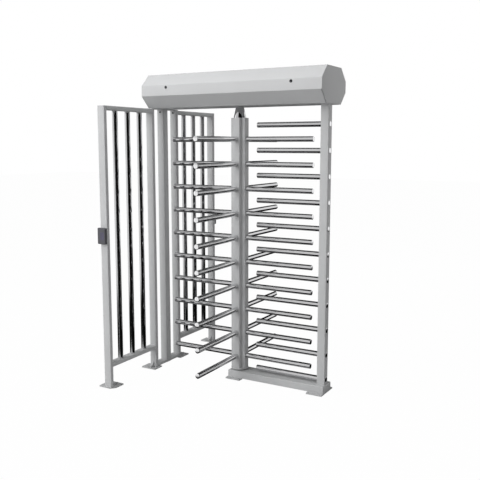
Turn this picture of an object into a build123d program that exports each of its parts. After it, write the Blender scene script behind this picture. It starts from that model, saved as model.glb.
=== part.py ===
"""Full-height visitor counting turnstile: a four-wing rotor between a fixed comb and a guide wall.

Millimetres, +Z up, X along the header, -Y towards the person who walks in.
The origin is on the floor, in the middle of the overall footprint.
"""
from build123d import *
from math import cos, radians, sin
import os

os.makedirs("parts", exist_ok=True)

# ---------------------------------------------------------------- driving dimensions
clearance = 0.3            # between pieces that are welded or dropped in
running_gap = 0.05         # radial, between a shaft and its bearing

arm_radius = 19.0          # arms and comb bars, 38 mm tube
arm_wall = 1.5
arm_reach = 594.0          # rotor axis to the face of an arm's cap
arm_rows = 10
arm_pitch = 182.0
first_arm_z = 176.0
cap_face = 2.0             # domed face of a tube plug
cap_stub = 12.0            # its stub inside the tube

column_core = 60.0         # square tube
column_core_wall = 4.0
channel_depth = 29.0
channel_wall = 2.5
column_bottom_z = 80.0
column_head = 152.0        # column above its top row of arms

comb_start = 150.0         # rotor axis to the free end of a comb bar
comb_drop = 80.0           # a comb bar below the row of arms that passes over it

post_size = 60.0           # square posts that carry the header
post_wall = 3.0
fence_post_depth = 30.0    # the narrower posts and rails, 60 x 30 tube
fence_wall = 2.5
wall_gap = 78.0            # arm tips to the guide wall
comb_gap = 61.0            # arm tips to the comb post
inner_post_y = 157.0       # centre of the posts beside the main post
panel_clear = 520.0        # clear width of a fence panel
rail_height = 30.0
low_rail_z = 160.0
guide_radius = 19.0        # upright guide bars, 38 mm tube
guide_wall = 1.5
guide_count = 3
sill_top_z = 34.0

foot_plate = 10.0          # thickness of every foot plate
foot_outreach = 83.0       # wall centre line to the outer edge of its foot plates
foot_inreach = 46.0
foot_long = 105.0          # post centre to the far edge of a long foot plate
foot_short = 58.0
foot_behind = 37.0
foot_corner = 34.0         # cut corner beside the walkway
anchor_radius = 6.0
wall_anchor_spacing = 60.0
gusset_height = 52.0
gusset_long = 82.0
gusset_short = 41.0
gusset_thick = 6.0
gusset_dip = 7.0           # hollow of its curved edge

beam_depth = 144.0         # floor beam under the rotor and the comb
beam_top_z = 62.0
beam_wall = 3.0
beam_tail = 65.0           # rotor axis to the free end of the beam
beam_nose = 9.0            # beam beyond the comb post
beam_foot_length = 120.0
beam_foot_depth = 204.0
beam_anchor_x = 90.0
beam_anchor_y = 176.0

cone_height = 81.0
cone_foot_radius = 46.0
cone_top_radius = 30.0
cone_wall = 3.0
cone_gap = 3.0             # running gap under the header
shaft_radius = 20.0

head_plate = 5.0
header_width = 422.0
header_height = 250.0
header_chamfer = 86.0
header_sheet = 2.0
header_overhang_wall = 6.0
header_overhang_comb = 23.0
seam = 1.0                 # between the trough and the lid
end_gap = 4.0              # between the trough and the lid's end plates
lip_height = 20.0          # upstand of the trough inside the lid
lock_setback = 18.0        # lock centre below the upper edge of the lid's front facet
lock_spread = 513.0        # rotor axis to each lock

reader_width = 70.0
reader_height = 116.0
reader_depth = 20.0
reader_plate = 2.0
reader_z = 1131.0
reader_shift = -5.0

# ---------------------------------------------------------------- places worked out from them
wall_offset = arm_reach + wall_gap + post_size / 2
comb_offset = arm_reach + comb_gap + post_size / 2
header_left = wall_offset + post_size / 2 + header_overhang_wall
header_right = comb_offset + post_size / 2 + header_overhang_comb
rotor_x = (max(wall_offset + foot_outreach, header_left) - header_right) / 2
wall_x = rotor_x - wall_offset
comb_post_x = rotor_x + comb_offset
header_x0 = rotor_x - header_left
header_x1 = rotor_x + header_right

arm_levels = [first_arm_z + row * arm_pitch for row in range(arm_rows)]
comb_levels = [first_arm_z - comb_drop + row * arm_pitch for row in range(arm_rows + 1)]
column_top_z = arm_levels[-1] + column_head
header_z = column_top_z + cone_height + cone_gap
post_top_z = header_z - head_plate
header_top_z = header_z + header_height
facet_low_z = header_z + header_chamfer
facet_high_z = header_top_z - header_chamfer
half_header = header_width / 2

end_post_y = inner_post_y + fence_post_depth + panel_clear
reader_face_y = end_post_y + fence_post_depth / 2 + reader_plate + reader_depth
channel_reach = column_core / 2 + channel_depth


def save(piece, label):
    """Name a finished piece and write its STEP file."""
    piece.part.label = label
    export_step(piece.part, f"parts/{label}.step")


def box_section(x, y, width, depth, wall):
    """The section of a rectangular tube, drawn in the current sketch."""
    with Locations((x, y)):
        Rectangle(width, depth)
        Rectangle(width - 2 * wall, depth - 2 * wall, mode=Mode.SUBTRACT)


def radial_plane(angle, radius):
    """A plane at a radius from the rotor axis that looks outwards; its Y is up."""
    a = radians(angle)
    return Plane(
        origin=(rotor_x + radius * cos(a), radius * sin(a), 0),
        x_dir=(-sin(a), cos(a), 0),
        z_dir=(cos(a), sin(a), 0),
    )


# ---------------------------------------------------------------- floor beam and comb
beam_x0 = rotor_x - beam_tail
beam_x1 = comb_post_x + post_size / 2 + beam_nose
beam_length = beam_x1 - beam_x0
beam_mid_x = (beam_x0 + beam_x1) / 2
pivot_hole_radius = 30.0
beam_foot_overlap = 3.0    # the left foot plate shows this much past the beam's end
beam_foot_xs = (
    beam_x0 - beam_foot_overlap + beam_foot_length / 2,
    beam_x1 - beam_foot_length / 2,
)

with BuildPart() as base_beam:
    with BuildSketch(Plane.XY.offset(foot_plate)):
        with Locations((beam_mid_x, 0)):
            Rectangle(beam_length, beam_depth)
    extrude(amount=beam_top_z - foot_plate)
    with BuildSketch(Plane.XY.offset(foot_plate)):
        with Locations((beam_mid_x, 0)):
            Rectangle(beam_length - 2 * beam_wall, beam_depth - 2 * beam_wall)
    extrude(amount=beam_top_z - foot_plate - beam_wall, mode=Mode.SUBTRACT)
    with BuildSketch(Plane.XY.offset(beam_top_z - beam_wall)):
        with Locations((rotor_x, 0)):
            Circle(pivot_hole_radius)
    extrude(amount=beam_wall, mode=Mode.SUBTRACT)
save(base_beam, "base_beam")

with BuildPart() as base_foot_plates:
    with BuildSketch():
        with Locations(*[(x, 0) for x in beam_foot_xs]):
            Rectangle(beam_foot_length, beam_foot_depth)
            with GridLocations(beam_anchor_x, beam_anchor_y, 2, 2):
                Circle(anchor_radius, mode=Mode.SUBTRACT)
    extrude(amount=foot_plate)
save(base_foot_plates, "base_foot_plates")

with BuildPart() as comb_post:
    with BuildSketch(Plane.XY.offset(beam_top_z)):
        box_section(comb_post_x, 0, post_size, post_size, post_wall)
    extrude(amount=post_top_z - beam_top_z)
    with BuildSketch(Plane.YZ.offset(comb_post_x - post_size / 2)):
        with Locations(*[(0, z) for z in comb_levels]):
            Circle(arm_radius + clearance)
    extrude(amount=post_size, mode=Mode.SUBTRACT)
save(comb_post, "comb_post")

comb_end_x = comb_post_x + post_size / 2
comb_tube_x = rotor_x + comb_start + cap_face
with BuildPart() as comb_bars:
    with BuildSketch(Plane.YZ.offset(comb_tube_x)):
        with Locations(*[(0, z) for z in comb_levels]):
            Circle(arm_radius)
            Circle(arm_radius - arm_wall, mode=Mode.SUBTRACT)
    extrude(amount=comb_end_x - comb_tube_x)
save(comb_bars, "comb_bars")

plug_radius = arm_radius - arm_wall - clearance
plug_edge = 0.8
with BuildPart() as plug_shape:
    with BuildSketch():
        Circle(plug_radius)
    extrude(amount=-cap_stub)
    with BuildSketch():
        Circle(arm_radius)
    extrude(amount=cap_face)
    chamfer(plug_shape.faces().sort_by(Axis.Z)[-1].edges(), plug_edge)


def plugs(places):
    """One solid plug at each plane, its domed face along the plane's Z."""
    with BuildPart() as group:
        for place in places:
            add(place * plug_shape.part)
    return group


comb_plug_places = [
    Plane(origin=(comb_tube_x, 0, z), x_dir=(0, 1, 0), z_dir=(-1, 0, 0)) for z in comb_levels
] + [
    Plane(origin=(comb_end_x, 0, z), x_dir=(0, 1, 0), z_dir=(1, 0, 0)) for z in comb_levels
]
save(plugs(comb_plug_places), "comb_bar_plugs")

# ---------------------------------------------------------------- guide wall
post_foot_z = foot_plate
screw_radius = 3.0
screw_z = post_top_z - 19.0
with BuildPart() as main_post:
    with BuildSketch(Plane.XY.offset(post_foot_z)):
        box_section(wall_x, 0, post_size, post_size, post_wall)
    extrude(amount=post_top_z - post_foot_z)
    with BuildSketch(Plane.XZ.offset(-post_size / 2)):
        with Locations((wall_x, screw_z)):
            Circle(screw_radius + clearance)
    extrude(amount=post_size, mode=Mode.SUBTRACT)
save(main_post, "main_post")

cap_plate = 3.0
inner_face_y = inner_post_y - fence_post_depth / 2
with BuildPart() as inner_posts:
    with BuildSketch(Plane.XY.offset(post_foot_z)):
        for side in (-1, 1):
            box_section(wall_x, side * inner_post_y, post_size, fence_post_depth, fence_wall)
    extrude(amount=post_top_z - post_foot_z)
    with BuildSketch(Plane.XZ.offset(-inner_face_y - fence_wall)):
        with Locations((wall_x, screw_z)):
            Circle(screw_radius + clearance)
    extrude(amount=2 * (inner_face_y + fence_wall), mode=Mode.SUBTRACT)
save(inner_posts, "inner_posts")

with BuildPart() as end_posts:
    with BuildSketch(Plane.XY.offset(post_foot_z)):
        for side in (-1, 1):
            box_section(wall_x, side * end_post_y, post_size, fence_post_depth, fence_wall)
    extrude(amount=post_top_z - cap_plate - post_foot_z)
save(end_posts, "end_posts")

with BuildPart() as post_caps:
    with BuildSketch(Plane.XY.offset(post_top_z - cap_plate)):
        with Locations((wall_x, -end_post_y), (wall_x, end_post_y)):
            Rectangle(post_size, fence_post_depth)
    extrude(amount=cap_plate)
save(post_caps, "post_caps")


def rail_pair(z0):
    """The two rails of one level, one in each fence panel."""
    with BuildPart() as rails:
        with BuildSketch(Plane.XZ.offset(-inner_post_y - fence_post_depth / 2)):
            with Locations((wall_x, z0 + rail_height / 2)):
                Rectangle(post_size, rail_height)
                Rectangle(post_size - 2 * fence_wall, rail_height - 2 * fence_wall, mode=Mode.SUBTRACT)
        extrude(amount=-panel_clear)
        mirror(about=Plane.XZ)
    return rails


high_rail_z = post_top_z - rail_height
save(rail_pair(high_rail_z), "top_rails")
save(rail_pair(low_rail_z), "bottom_rails")

guide_gap = (panel_clear - guide_count * 2 * guide_radius) / (guide_count + 1)
guide_pitch = guide_gap + 2 * guide_radius
panel_mid_y = (inner_post_y + end_post_y) / 2
with BuildPart() as guide_bars:
    with BuildSketch(Plane.XY.offset(low_rail_z + rail_height)):
        with Locations((wall_x, -panel_mid_y), (wall_x, panel_mid_y)):
            with GridLocations(0, guide_pitch, 1, guide_count):
                Circle(guide_radius)
                Circle(guide_radius - guide_wall, mode=Mode.SUBTRACT)
    extrude(amount=high_rail_z - low_rail_z - rail_height)
save(guide_bars, "guide_bars")

sill_length = inner_post_y - fence_post_depth / 2 - post_size / 2
sill_y = (inner_post_y - fence_post_depth / 2 + post_size / 2) / 2
with BuildPart() as side_sills:
    with BuildSketch(Plane.XZ.offset(-post_size / 2)):
        with Locations((wall_x, (foot_plate + sill_top_z) / 2)):
            Rectangle(post_size, sill_top_z - foot_plate)
            Rectangle(
                post_size - 2 * fence_wall, sill_top_z - foot_plate - 2 * fence_wall, mode=Mode.SUBTRACT
            )
    extrude(amount=-sill_length)
    mirror(about=Plane.XZ)
save(side_sills, "side_sills")

# Each foot: post centre, the direction its gusset points, the gusset's reach and
# the reach of the plate in front of and behind the post.
post_half = fence_post_depth / 2
feet = (
    (-end_post_y, 1, gusset_long, foot_long, post_half),
    (-inner_post_y, -1, gusset_short, foot_short, foot_behind),
    (inner_post_y, 1, gusset_long, foot_long, post_half),
    (end_post_y, -1, gusset_short, foot_short, foot_behind),
)
long_anchor_edge = 20.0
short_anchor_edge = 18.0
long_anchor_y = foot_long - long_anchor_edge
short_anchor_y = foot_short - short_anchor_edge

foot_width = foot_outreach + foot_inreach
foot_x = wall_x + (foot_inreach - foot_outreach) / 2
with BuildPart() as foot_plates:
    for post_y, way, reach, ahead, behind in feet:
        anchor_y = long_anchor_y if reach == gusset_long else short_anchor_y
        with BuildSketch():
            with Locations((foot_x, post_y + way * (ahead - behind) / 2)):
                Rectangle(foot_width, ahead + behind)
            with Locations((wall_x, post_y + way * anchor_y)):
                with GridLocations(wall_anchor_spacing, 0, 2, 1):
                    Circle(anchor_radius, mode=Mode.SUBTRACT)
        extrude(amount=foot_plate)
    walkway_corners = foot_plates.edges().filter_by(Axis.Z).group_by(Axis.X)[-1].sort_by(Axis.Y)
    chamfer([walkway_corners[0], walkway_corners[-1]], foot_corner)
save(foot_plates, "foot_plates")

with BuildPart() as foot_gussets:
    for post_y, way, reach, ahead, behind in feet:
        face_y = post_y + way * post_half
        with BuildSketch(Plane.YZ.offset(wall_x - gusset_thick / 2)):
            with BuildLine():
                head = (face_y, foot_plate + gusset_height)
                toe = (face_y + way * reach, foot_plate + gusset_thick)
                waist = (
                    face_y + way * (reach / 2 - gusset_dip),
                    foot_plate + (gusset_height + gusset_thick) / 2 - gusset_dip,
                )
                Polyline(head, (face_y, foot_plate), (face_y + way * reach, foot_plate), toe)
                ThreePointArc(toe, waist, head)
            make_face()
        extrude(amount=gusset_thick)
save(foot_gussets, "foot_gussets")

# Plates on the post tops; a short tube under each drops into its post.
spigot_drop = 45.0
spigot_wall = 3.0
bolt_radius = 6.0
bolt_y = 15.0
bolt_pitch = 2 * bolt_y
head_plate_length = 2 * inner_post_y + fence_post_depth
spigots = (
    (wall_x, 0, post_size - 2 * post_wall, post_size - 2 * post_wall),
    (wall_x, -inner_post_y, post_size - 2 * fence_wall, fence_post_depth - 2 * fence_wall),
    (wall_x, inner_post_y, post_size - 2 * fence_wall, fence_post_depth - 2 * fence_wall),
    (comb_post_x, 0, post_size - 2 * post_wall, post_size - 2 * post_wall),
)
with BuildPart() as head_plates:
    with BuildSketch(Plane.XY.offset(post_top_z)):
        with Locations((wall_x, 0)):
            Rectangle(post_size, head_plate_length)
        with Locations((comb_post_x, 0)):
            Rectangle(post_size, post_size)
        with Locations((wall_x, 0), (comb_post_x, 0)):
            with GridLocations(0, bolt_pitch, 1, 2):
                Circle(bolt_radius + clearance, mode=Mode.SUBTRACT)
    extrude(amount=head_plate)
    for x, y, width, depth in spigots:
        with BuildSketch(Plane.XY.offset(post_top_z)):
            with Locations((x, y)):
                Rectangle(width - 2 * clearance, depth - 2 * clearance)
                Rectangle(
                    width - 2 * clearance - 2 * spigot_wall,
                    depth - 2 * clearance - 2 * spigot_wall,
                    mode=Mode.SUBTRACT,
                )
        extrude(amount=-spigot_drop)
    with BuildSketch(Plane.XZ.offset(-inner_post_y)):
        with Locations((wall_x, screw_z)):
            Circle(screw_radius + clearance)
    extrude(amount=2 * inner_post_y, mode=Mode.SUBTRACT)
save(head_plates, "head_plates")

# Button-head screws that hold the posts to their spigots.
screw_head_radius = 7.0
screw_head = 3.5
screw_length = 10.0
screw_dome = 25.0          # slope of the button head
screw_seats = (
    (-post_size / 2, -1),
    (post_size / 2, 1),
    (inner_post_y - post_half, -1),
    (-inner_post_y + post_half, 1),
)
with BuildPart() as post_screws:
    for seat_y, way in screw_seats:
        with BuildSketch(Plane(origin=(wall_x, seat_y, screw_z), x_dir=(1, 0, 0), z_dir=(0, way, 0))):
            Circle(screw_head_radius)
        extrude(amount=screw_head, taper=screw_dome)
        with BuildSketch(Plane(origin=(wall_x, seat_y, screw_z), x_dir=(1, 0, 0), z_dir=(0, way, 0))):
            Circle(screw_radius)
        extrude(amount=-screw_length)
save(post_screws, "post_screws")

# ---------------------------------------------------------------- card readers
window_width = 34.0
window_height = 56.0
window_inset = 1.5
reader_corner = 4.0
reader_edge = 1.5
reader_back_margin = 3.0
window_shift = 7.0         # window centre towards the walkway
window_sink = 0.5
reader_x = wall_x + reader_shift
reader_seat_y = end_post_y + post_half
reader_seats = [
    Plane(origin=(reader_x, side * reader_seat_y, reader_z), x_dir=(1, 0, 0), z_dir=(0, side, 0))
    for side in (-1, 1)
]
with BuildPart() as reader_backs:
    for seat in reader_seats:
        with BuildSketch(seat):
            RectangleRounded(
                reader_width - 2 * reader_back_margin, reader_height - 2 * reader_back_margin, reader_corner
            )
        extrude(amount=reader_plate)
save(reader_backs, "reader_back_plates")

with BuildPart() as reader_bodies:
    for seat in reader_seats:
        with BuildSketch(seat.offset(reader_plate)):
            RectangleRounded(reader_width, reader_height, reader_corner)
        extrude(amount=reader_depth)
    for face in (reader_bodies.faces().sort_by(Axis.Y)[0], reader_bodies.faces().sort_by(Axis.Y)[-1]):
        chamfer(face.edges(), reader_edge)
    for seat in reader_seats:
        with BuildSketch(seat.offset(reader_plate + reader_depth - window_inset)):
            with Locations((window_shift, 0)):
                Rectangle(window_width, window_height)
        extrude(amount=window_inset, mode=Mode.SUBTRACT)
save(reader_bodies, "reader_bodies")

with BuildPart() as reader_windows:
    for seat in reader_seats:
        with BuildSketch(seat.offset(reader_plate + reader_depth - window_inset)):
            with Locations((window_shift, 0)):
                Rectangle(window_width - 2 * clearance, window_height - 2 * clearance)
        extrude(amount=window_inset - window_sink)
save(reader_windows, "reader_windows")

# ---------------------------------------------------------------- rotor
with BuildPart() as column_core_tube:
    with BuildSketch(Plane.XY.offset(column_bottom_z)):
        with Locations((rotor_x, 0)):
            Rectangle(column_core, column_core)
            Rectangle(
                column_core - 2 * column_core_wall, column_core - 2 * column_core_wall, mode=Mode.SUBTRACT
            )
    extrude(amount=column_top_z - column_bottom_z)
save(column_core_tube, "column_core")

channel_width = column_core - 2 * clearance
wing_count = 4
wing_angles = [wing * 360 / wing_count for wing in range(wing_count)]
with BuildPart() as wing_channels:
    with BuildSketch(Plane.XY.offset(column_bottom_z)):
        with Locations((rotor_x, 0)):
            with PolarLocations(column_core / 2 + channel_depth / 2, wing_count):
                Rectangle(channel_depth, channel_width)
                with Locations((-channel_wall / 2, 0)):
                    Rectangle(
                        channel_depth - channel_wall, channel_width - 2 * channel_wall, mode=Mode.SUBTRACT
                    )
    extrude(amount=column_top_z - column_bottom_z)
    for angle in wing_angles:
        with BuildSketch(radial_plane(angle, channel_reach - channel_wall)):
            with Locations(*[(0, z) for z in arm_levels]):
                Circle(arm_radius + clearance)
        extrude(amount=channel_wall, mode=Mode.SUBTRACT)
save(wing_channels, "wing_channels")

arm_tube_end = arm_reach - cap_face
with BuildPart() as rotor_arms:
    for angle in wing_angles:
        with BuildSketch(radial_plane(angle, column_core / 2)):
            with Locations(*[(0, z) for z in arm_levels]):
                Circle(arm_radius)
                Circle(arm_radius - arm_wall, mode=Mode.SUBTRACT)
        extrude(amount=arm_tube_end - column_core / 2)
save(rotor_arms, "rotor_arms")


def tip_plane(angle, z):
    """The plane at the end of one arm tube, looking outwards."""
    end = radial_plane(angle, arm_tube_end)
    return Plane(origin=end.origin + Vector(0, 0, z), x_dir=end.x_dir, z_dir=end.z_dir)


save(plugs([tip_plane(a, z) for a in wing_angles for z in arm_levels]), "arm_plugs")

# Ball bearings by their standard sizes: bore, outside diameter and width.
low_bore, low_outside, low_width = 25.0, 52.0, 15.0
high_bore, high_outside, high_width = 2 * shaft_radius, 80.0, 18.0
low_bearing_z = 34.0
disc_radius = 66.0
disc_thick = 8.0
disc_z = column_bottom_z - disc_thick
shoulder_radius = 20.0
disc_edge = 1.5
with BuildPart() as foot_pivot:
    with BuildSketch(Plane.XY.offset(disc_z)):
        with Locations((rotor_x, 0)):
            Circle(disc_radius)
    extrude(amount=disc_thick)
    chamfer(foot_pivot.faces().sort_by(Axis.Z)[-1].edges(), disc_edge)
    with BuildSketch(Plane.XY.offset(disc_z)):
        with Locations((rotor_x, 0)):
            Circle(shoulder_radius)
    extrude(amount=-(disc_z - low_bearing_z - low_width - clearance))
    with BuildSketch(Plane.XY.offset(disc_z)):
        with Locations((rotor_x, 0)):
            Circle(low_bore / 2 - running_gap)
    extrude(amount=-(disc_z - low_bearing_z))
save(foot_pivot, "column_foot_pivot")

low_housing_radius = 38.0
with BuildPart() as bottom_bearing_housing:
    with BuildSketch(Plane.XY.offset(foot_plate)):
        with Locations((rotor_x, 0)):
            Circle(low_housing_radius)
    extrude(amount=beam_top_z - beam_wall - clearance - foot_plate)
    with BuildSketch(Plane.XY.offset(low_bearing_z)):
        with Locations((rotor_x, 0)):
            Circle(low_outside / 2 + running_gap)
    extrude(amount=beam_top_z - low_bearing_z, mode=Mode.SUBTRACT)
save(bottom_bearing_housing, "bottom_bearing_housing")


def bearing(x, z, bore, outside, width):
    """A sealed ball bearing: two races and the shield between them, as one ring."""
    race_share = 0.30
    shield_in = race_share * (outside - bore) / 2
    shield_sink = 0.8
    with BuildPart() as ring:
        with BuildSketch(Plane.XY.offset(z)):
            with Locations((x, 0)):
                Circle(outside / 2)
                Circle(bore / 2, mode=Mode.SUBTRACT)
        extrude(amount=width)
        for face_z, way in ((z, 1), (z + width, -1)):
            with BuildSketch(Plane.XY.offset(face_z)):
                with Locations((x, 0)):
                    Circle(outside / 2 - shield_in)
                    Circle(bore / 2 + shield_in, mode=Mode.SUBTRACT)
            extrude(amount=way * shield_sink, mode=Mode.SUBTRACT)
    return ring


save(bearing(rotor_x, low_bearing_z, low_bore, low_outside, low_width), "bottom_bearing")

top_plate = 3.0            # cross-shaped plate over the column, welded to the drive shaft
cone_z = column_top_z + top_plate
cone_top_z = header_z - cone_gap
with BuildPart() as top_cone:
    with BuildSketch(Plane.XZ):
        with BuildLine():
            Polyline(
                (rotor_x + cone_foot_radius - cone_wall, cone_z),
                (rotor_x + cone_foot_radius, cone_z),
                (rotor_x + cone_top_radius, cone_top_z),
                (rotor_x + cone_top_radius - cone_wall, cone_top_z),
                close=True,
            )
        make_face()
    revolve(axis=Axis((rotor_x, 0, 0), (0, 0, 1)))
save(top_cone, "top_cone")

# ---------------------------------------------------------------- header frame
saddle = 6.0
saddle_length = 236.0
beam_web = 60.0
beam_flange = 40.0
beam_sheet = 3.0
beam_y = 98.0
floor_z = header_z + header_sheet
saddle_z = floor_z + saddle
rail_top_z = saddle_z + beam_web
mech_plate = 8.0
mech_z = rail_top_z + mech_plate
mech_length = 440.0
mech_width = 252.0
shaft_hole_gap = 4.0
shaft_hole = shaft_radius + shaft_hole_gap
trough_x0 = header_x0 + header_sheet + end_gap
trough_x1 = header_x1 - header_sheet - end_gap


def octagon():
    """The header's outline in its YZ section, as a sketch inside the current builder."""
    flat = half_header - header_chamfer
    Polygon(
        (-half_header, facet_low_z), (-flat, header_z), (flat, header_z), (half_header, facet_low_z),
        (half_header, facet_high_z), (flat, header_top_z), (-flat, header_top_z),
        (-half_header, facet_high_z), align=None,
    )


gland_setback = 120.0      # gland centre to the comb post
gland_x = comb_post_x - gland_setback
gland_thread = 10.0
# The gland stands in the middle of the rear slanted facet; its plane looks into the header.
gland_plane = Plane(
    origin=(gland_x, half_header - header_chamfer / 2, header_z + header_chamfer / 2),
    x_dir=(1, 0, 0),
    z_dir=(0, -1, 1),
)
lip_gap = 1.5
lip_foot_drop = 1.5        # overlap of the lip with the slanted facet
lip_y = half_header - header_sheet - lip_gap - header_sheet / 2
with BuildPart() as header_trough:
    with BuildSketch(Plane.YZ.offset(trough_x0)) as trough_section:
        octagon()
        offset(amount=-header_sheet, kind=Kind.INTERSECTION, mode=Mode.SUBTRACT)
        with Locations((0, facet_low_z - seam / 2 + header_height / 2)):
            Rectangle(header_width, header_height, mode=Mode.SUBTRACT)
        lip_foot = facet_low_z - lip_foot_drop
        with Locations(
            (-lip_y, (lip_foot + facet_low_z + lip_height) / 2),
            (lip_y, (lip_foot + facet_low_z + lip_height) / 2),
        ):
            Rectangle(header_sheet, facet_low_z + lip_height - lip_foot)
    extrude(amount=trough_x1 - trough_x0)
    with BuildSketch(Plane.XY.offset(header_z)):
        with Locations((rotor_x, 0)):
            Circle(shaft_hole)
        with Locations((wall_x, 0), (comb_post_x, 0)):
            with GridLocations(0, bolt_pitch, 1, 2):
                Circle(bolt_radius + clearance)
    extrude(amount=header_sheet, mode=Mode.SUBTRACT)
    with BuildSketch(gland_plane):
        Circle(gland_thread + clearance)
    extrude(amount=header_sheet, mode=Mode.SUBTRACT)
save(header_trough, "header_trough")

with BuildPart() as header_saddles:
    with BuildSketch(Plane.XY.offset(floor_z)):
        with Locations((wall_x, 0), (comb_post_x, 0)):
            Rectangle(post_size, saddle_length)
        with Locations((wall_x, 0), (comb_post_x, 0)):
            with GridLocations(0, bolt_pitch, 1, 2):
                Circle(bolt_radius + clearance, mode=Mode.SUBTRACT)
    extrude(amount=saddle)
save(header_saddles, "header_saddles")

bolt_head = 7.5
bolt_flats = 18.0
bolt_grip = 12.0           # thread below the head plate
with BuildPart() as header_bolts:
    with BuildSketch(Plane.XY.offset(saddle_z)):
        with Locations((wall_x, 0), (comb_post_x, 0)):
            with GridLocations(0, bolt_pitch, 1, 2):
                RegularPolygon(bolt_flats / 2, 6, major_radius=False)
    extrude(amount=bolt_head)
    with BuildSketch(Plane.XY.offset(saddle_z)):
        with Locations((wall_x, 0), (comb_post_x, 0)):
            with GridLocations(0, bolt_pitch, 1, 2):
                Circle(bolt_radius)
    extrude(amount=-(saddle_z - post_top_z + bolt_grip))
save(header_bolts, "header_bolts")

with BuildPart() as header_rails:
    with BuildSketch(Plane.YZ.offset(wall_x - post_size / 2)):
        with Locations((beam_y, saddle_z + beam_web / 2)):
            Rectangle(beam_flange, beam_web)
            with Locations((-beam_sheet, 0)):
                Rectangle(beam_flange, beam_web - 2 * beam_sheet, mode=Mode.SUBTRACT)
    extrude(amount=comb_post_x - wall_x + post_size)
    mirror(about=Plane.XZ)
save(header_rails, "header_rails")

# ---------------------------------------------------------------- drive in the header
shaft_flange = 10.0
shaft_flange_radius = 30.0
shaft_edge = 1.5
shaft_over = 12.0          # shaft above the encoder disc
index_thick = 10.0
index_radius = 90.0
notch_width = 19.0
notch_depth = 8.0
index_hub_radius = 29.0
index_lift = 12.0          # index plate above the bearing housing
encoder_lift = 16.0        # encoder disc above the index plate
encoder_hub_radius = 28.0
encoder_thick = 2.0
encoder_radius = 106.0
encoder_slots = 32
encoder_slot_setback = 7.0
encoder_slot_length = 8.0
encoder_slot_width = 6.0
bearing_lift = 8.0
housing_thick = 32.0
top_bearing_z = mech_z + bearing_lift
collar_z = top_bearing_z + high_width
index_z = mech_z + housing_thick + index_lift
encoder_z = index_z + index_thick + encoder_lift
shaft_top_z = encoder_z + encoder_thick + shaft_over

with BuildPart() as mechanism_plate:
    with BuildSketch(Plane.XY.offset(rail_top_z)):
        with Locations((rotor_x, 0)):
            Rectangle(mech_length, mech_width)
            Circle(shaft_hole, mode=Mode.SUBTRACT)
    extrude(amount=mech_plate)
save(mechanism_plate, "mechanism_plate")

housing_flange = 12.0
housing_flange_radius = 74.0
housing_wall = 9.0
housing_bolt_circle = 62.0
housing_bolt_radius = 4.0
housing_bolt_flats = 13.0
housing_bolt_head = 5.0
with BuildPart() as top_bearing_housing:
    with BuildSketch(Plane.XY.offset(mech_z)):
        with Locations((rotor_x, 0)):
            Circle(housing_flange_radius)
    extrude(amount=housing_flange)
    with BuildSketch(Plane.XY.offset(mech_z)):
        with Locations((rotor_x, 0)):
            Circle(high_outside / 2 + housing_wall)
    extrude(amount=housing_thick)
    with BuildSketch(Plane.XY.offset(mech_z)):
        with Locations((rotor_x, 0)):
            Circle(shaft_hole)
            with PolarLocations(housing_bolt_circle, 4, start_angle=45):
                Circle(housing_bolt_radius + clearance)
    extrude(amount=housing_thick, mode=Mode.SUBTRACT)
    with BuildSketch(Plane.XY.offset(top_bearing_z)):
        with Locations((rotor_x, 0)):
            Circle(high_outside / 2 + running_gap)
    extrude(amount=housing_thick, mode=Mode.SUBTRACT)
save(top_bearing_housing, "top_bearing_housing")

with BuildPart() as housing_screws:
    with BuildSketch(Plane.XY.offset(mech_z + housing_flange)):
        with Locations((rotor_x, 0)):
            with PolarLocations(housing_bolt_circle, 4, start_angle=45):
                RegularPolygon(housing_bolt_flats / 2, 6, major_radius=False)
    extrude(amount=housing_bolt_head)
    with BuildSketch(Plane.XY.offset(mech_z + housing_flange)):
        with Locations((rotor_x, 0)):
            with PolarLocations(housing_bolt_circle, 4, start_angle=45):
                Circle(housing_bolt_radius)
    extrude(amount=-housing_flange)
save(housing_screws, "housing_screws")
save(bearing(rotor_x, top_bearing_z, high_bore, high_outside, high_width), "top_bearing")

with BuildPart() as drive_shaft:
    with BuildSketch(Plane.XY.offset(column_top_z)):
        with Locations((rotor_x, 0)):
            Rectangle(2 * channel_reach, channel_width)
            Rectangle(channel_width, 2 * channel_reach)
    extrude(amount=top_plate)
    with BuildSketch(Plane.XY.offset(cone_z)):
        with Locations((rotor_x, 0)):
            Circle(shaft_flange_radius)
    extrude(amount=shaft_flange)
    with BuildSketch(Plane.XY.offset(cone_z)):
        with Locations((rotor_x, 0)):
            Circle(shaft_radius - running_gap)
    extrude(amount=shaft_top_z - cone_z)
    chamfer(drive_shaft.faces().sort_by(Axis.Z)[-1].edges(), shaft_edge)
save(drive_shaft, "drive_shaft")

with BuildPart() as index_plate:
    with BuildSketch(Plane.XY.offset(collar_z + clearance)):
        with Locations((rotor_x, 0)):
            Circle(index_hub_radius)
    extrude(amount=index_z - collar_z - clearance)
    with BuildSketch(Plane.XY.offset(index_z)):
        with Locations((rotor_x, 0)):
            Circle(index_radius)
            with PolarLocations(index_radius, wing_count):
                Rectangle(2 * notch_depth, notch_width, mode=Mode.SUBTRACT)
    extrude(amount=index_thick)
    with BuildSketch(Plane.XY.offset(collar_z)):
        with Locations((rotor_x, 0)):
            Circle(shaft_radius)
    extrude(amount=shaft_top_z - collar_z, mode=Mode.SUBTRACT)
save(index_plate, "index_plate")

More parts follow.
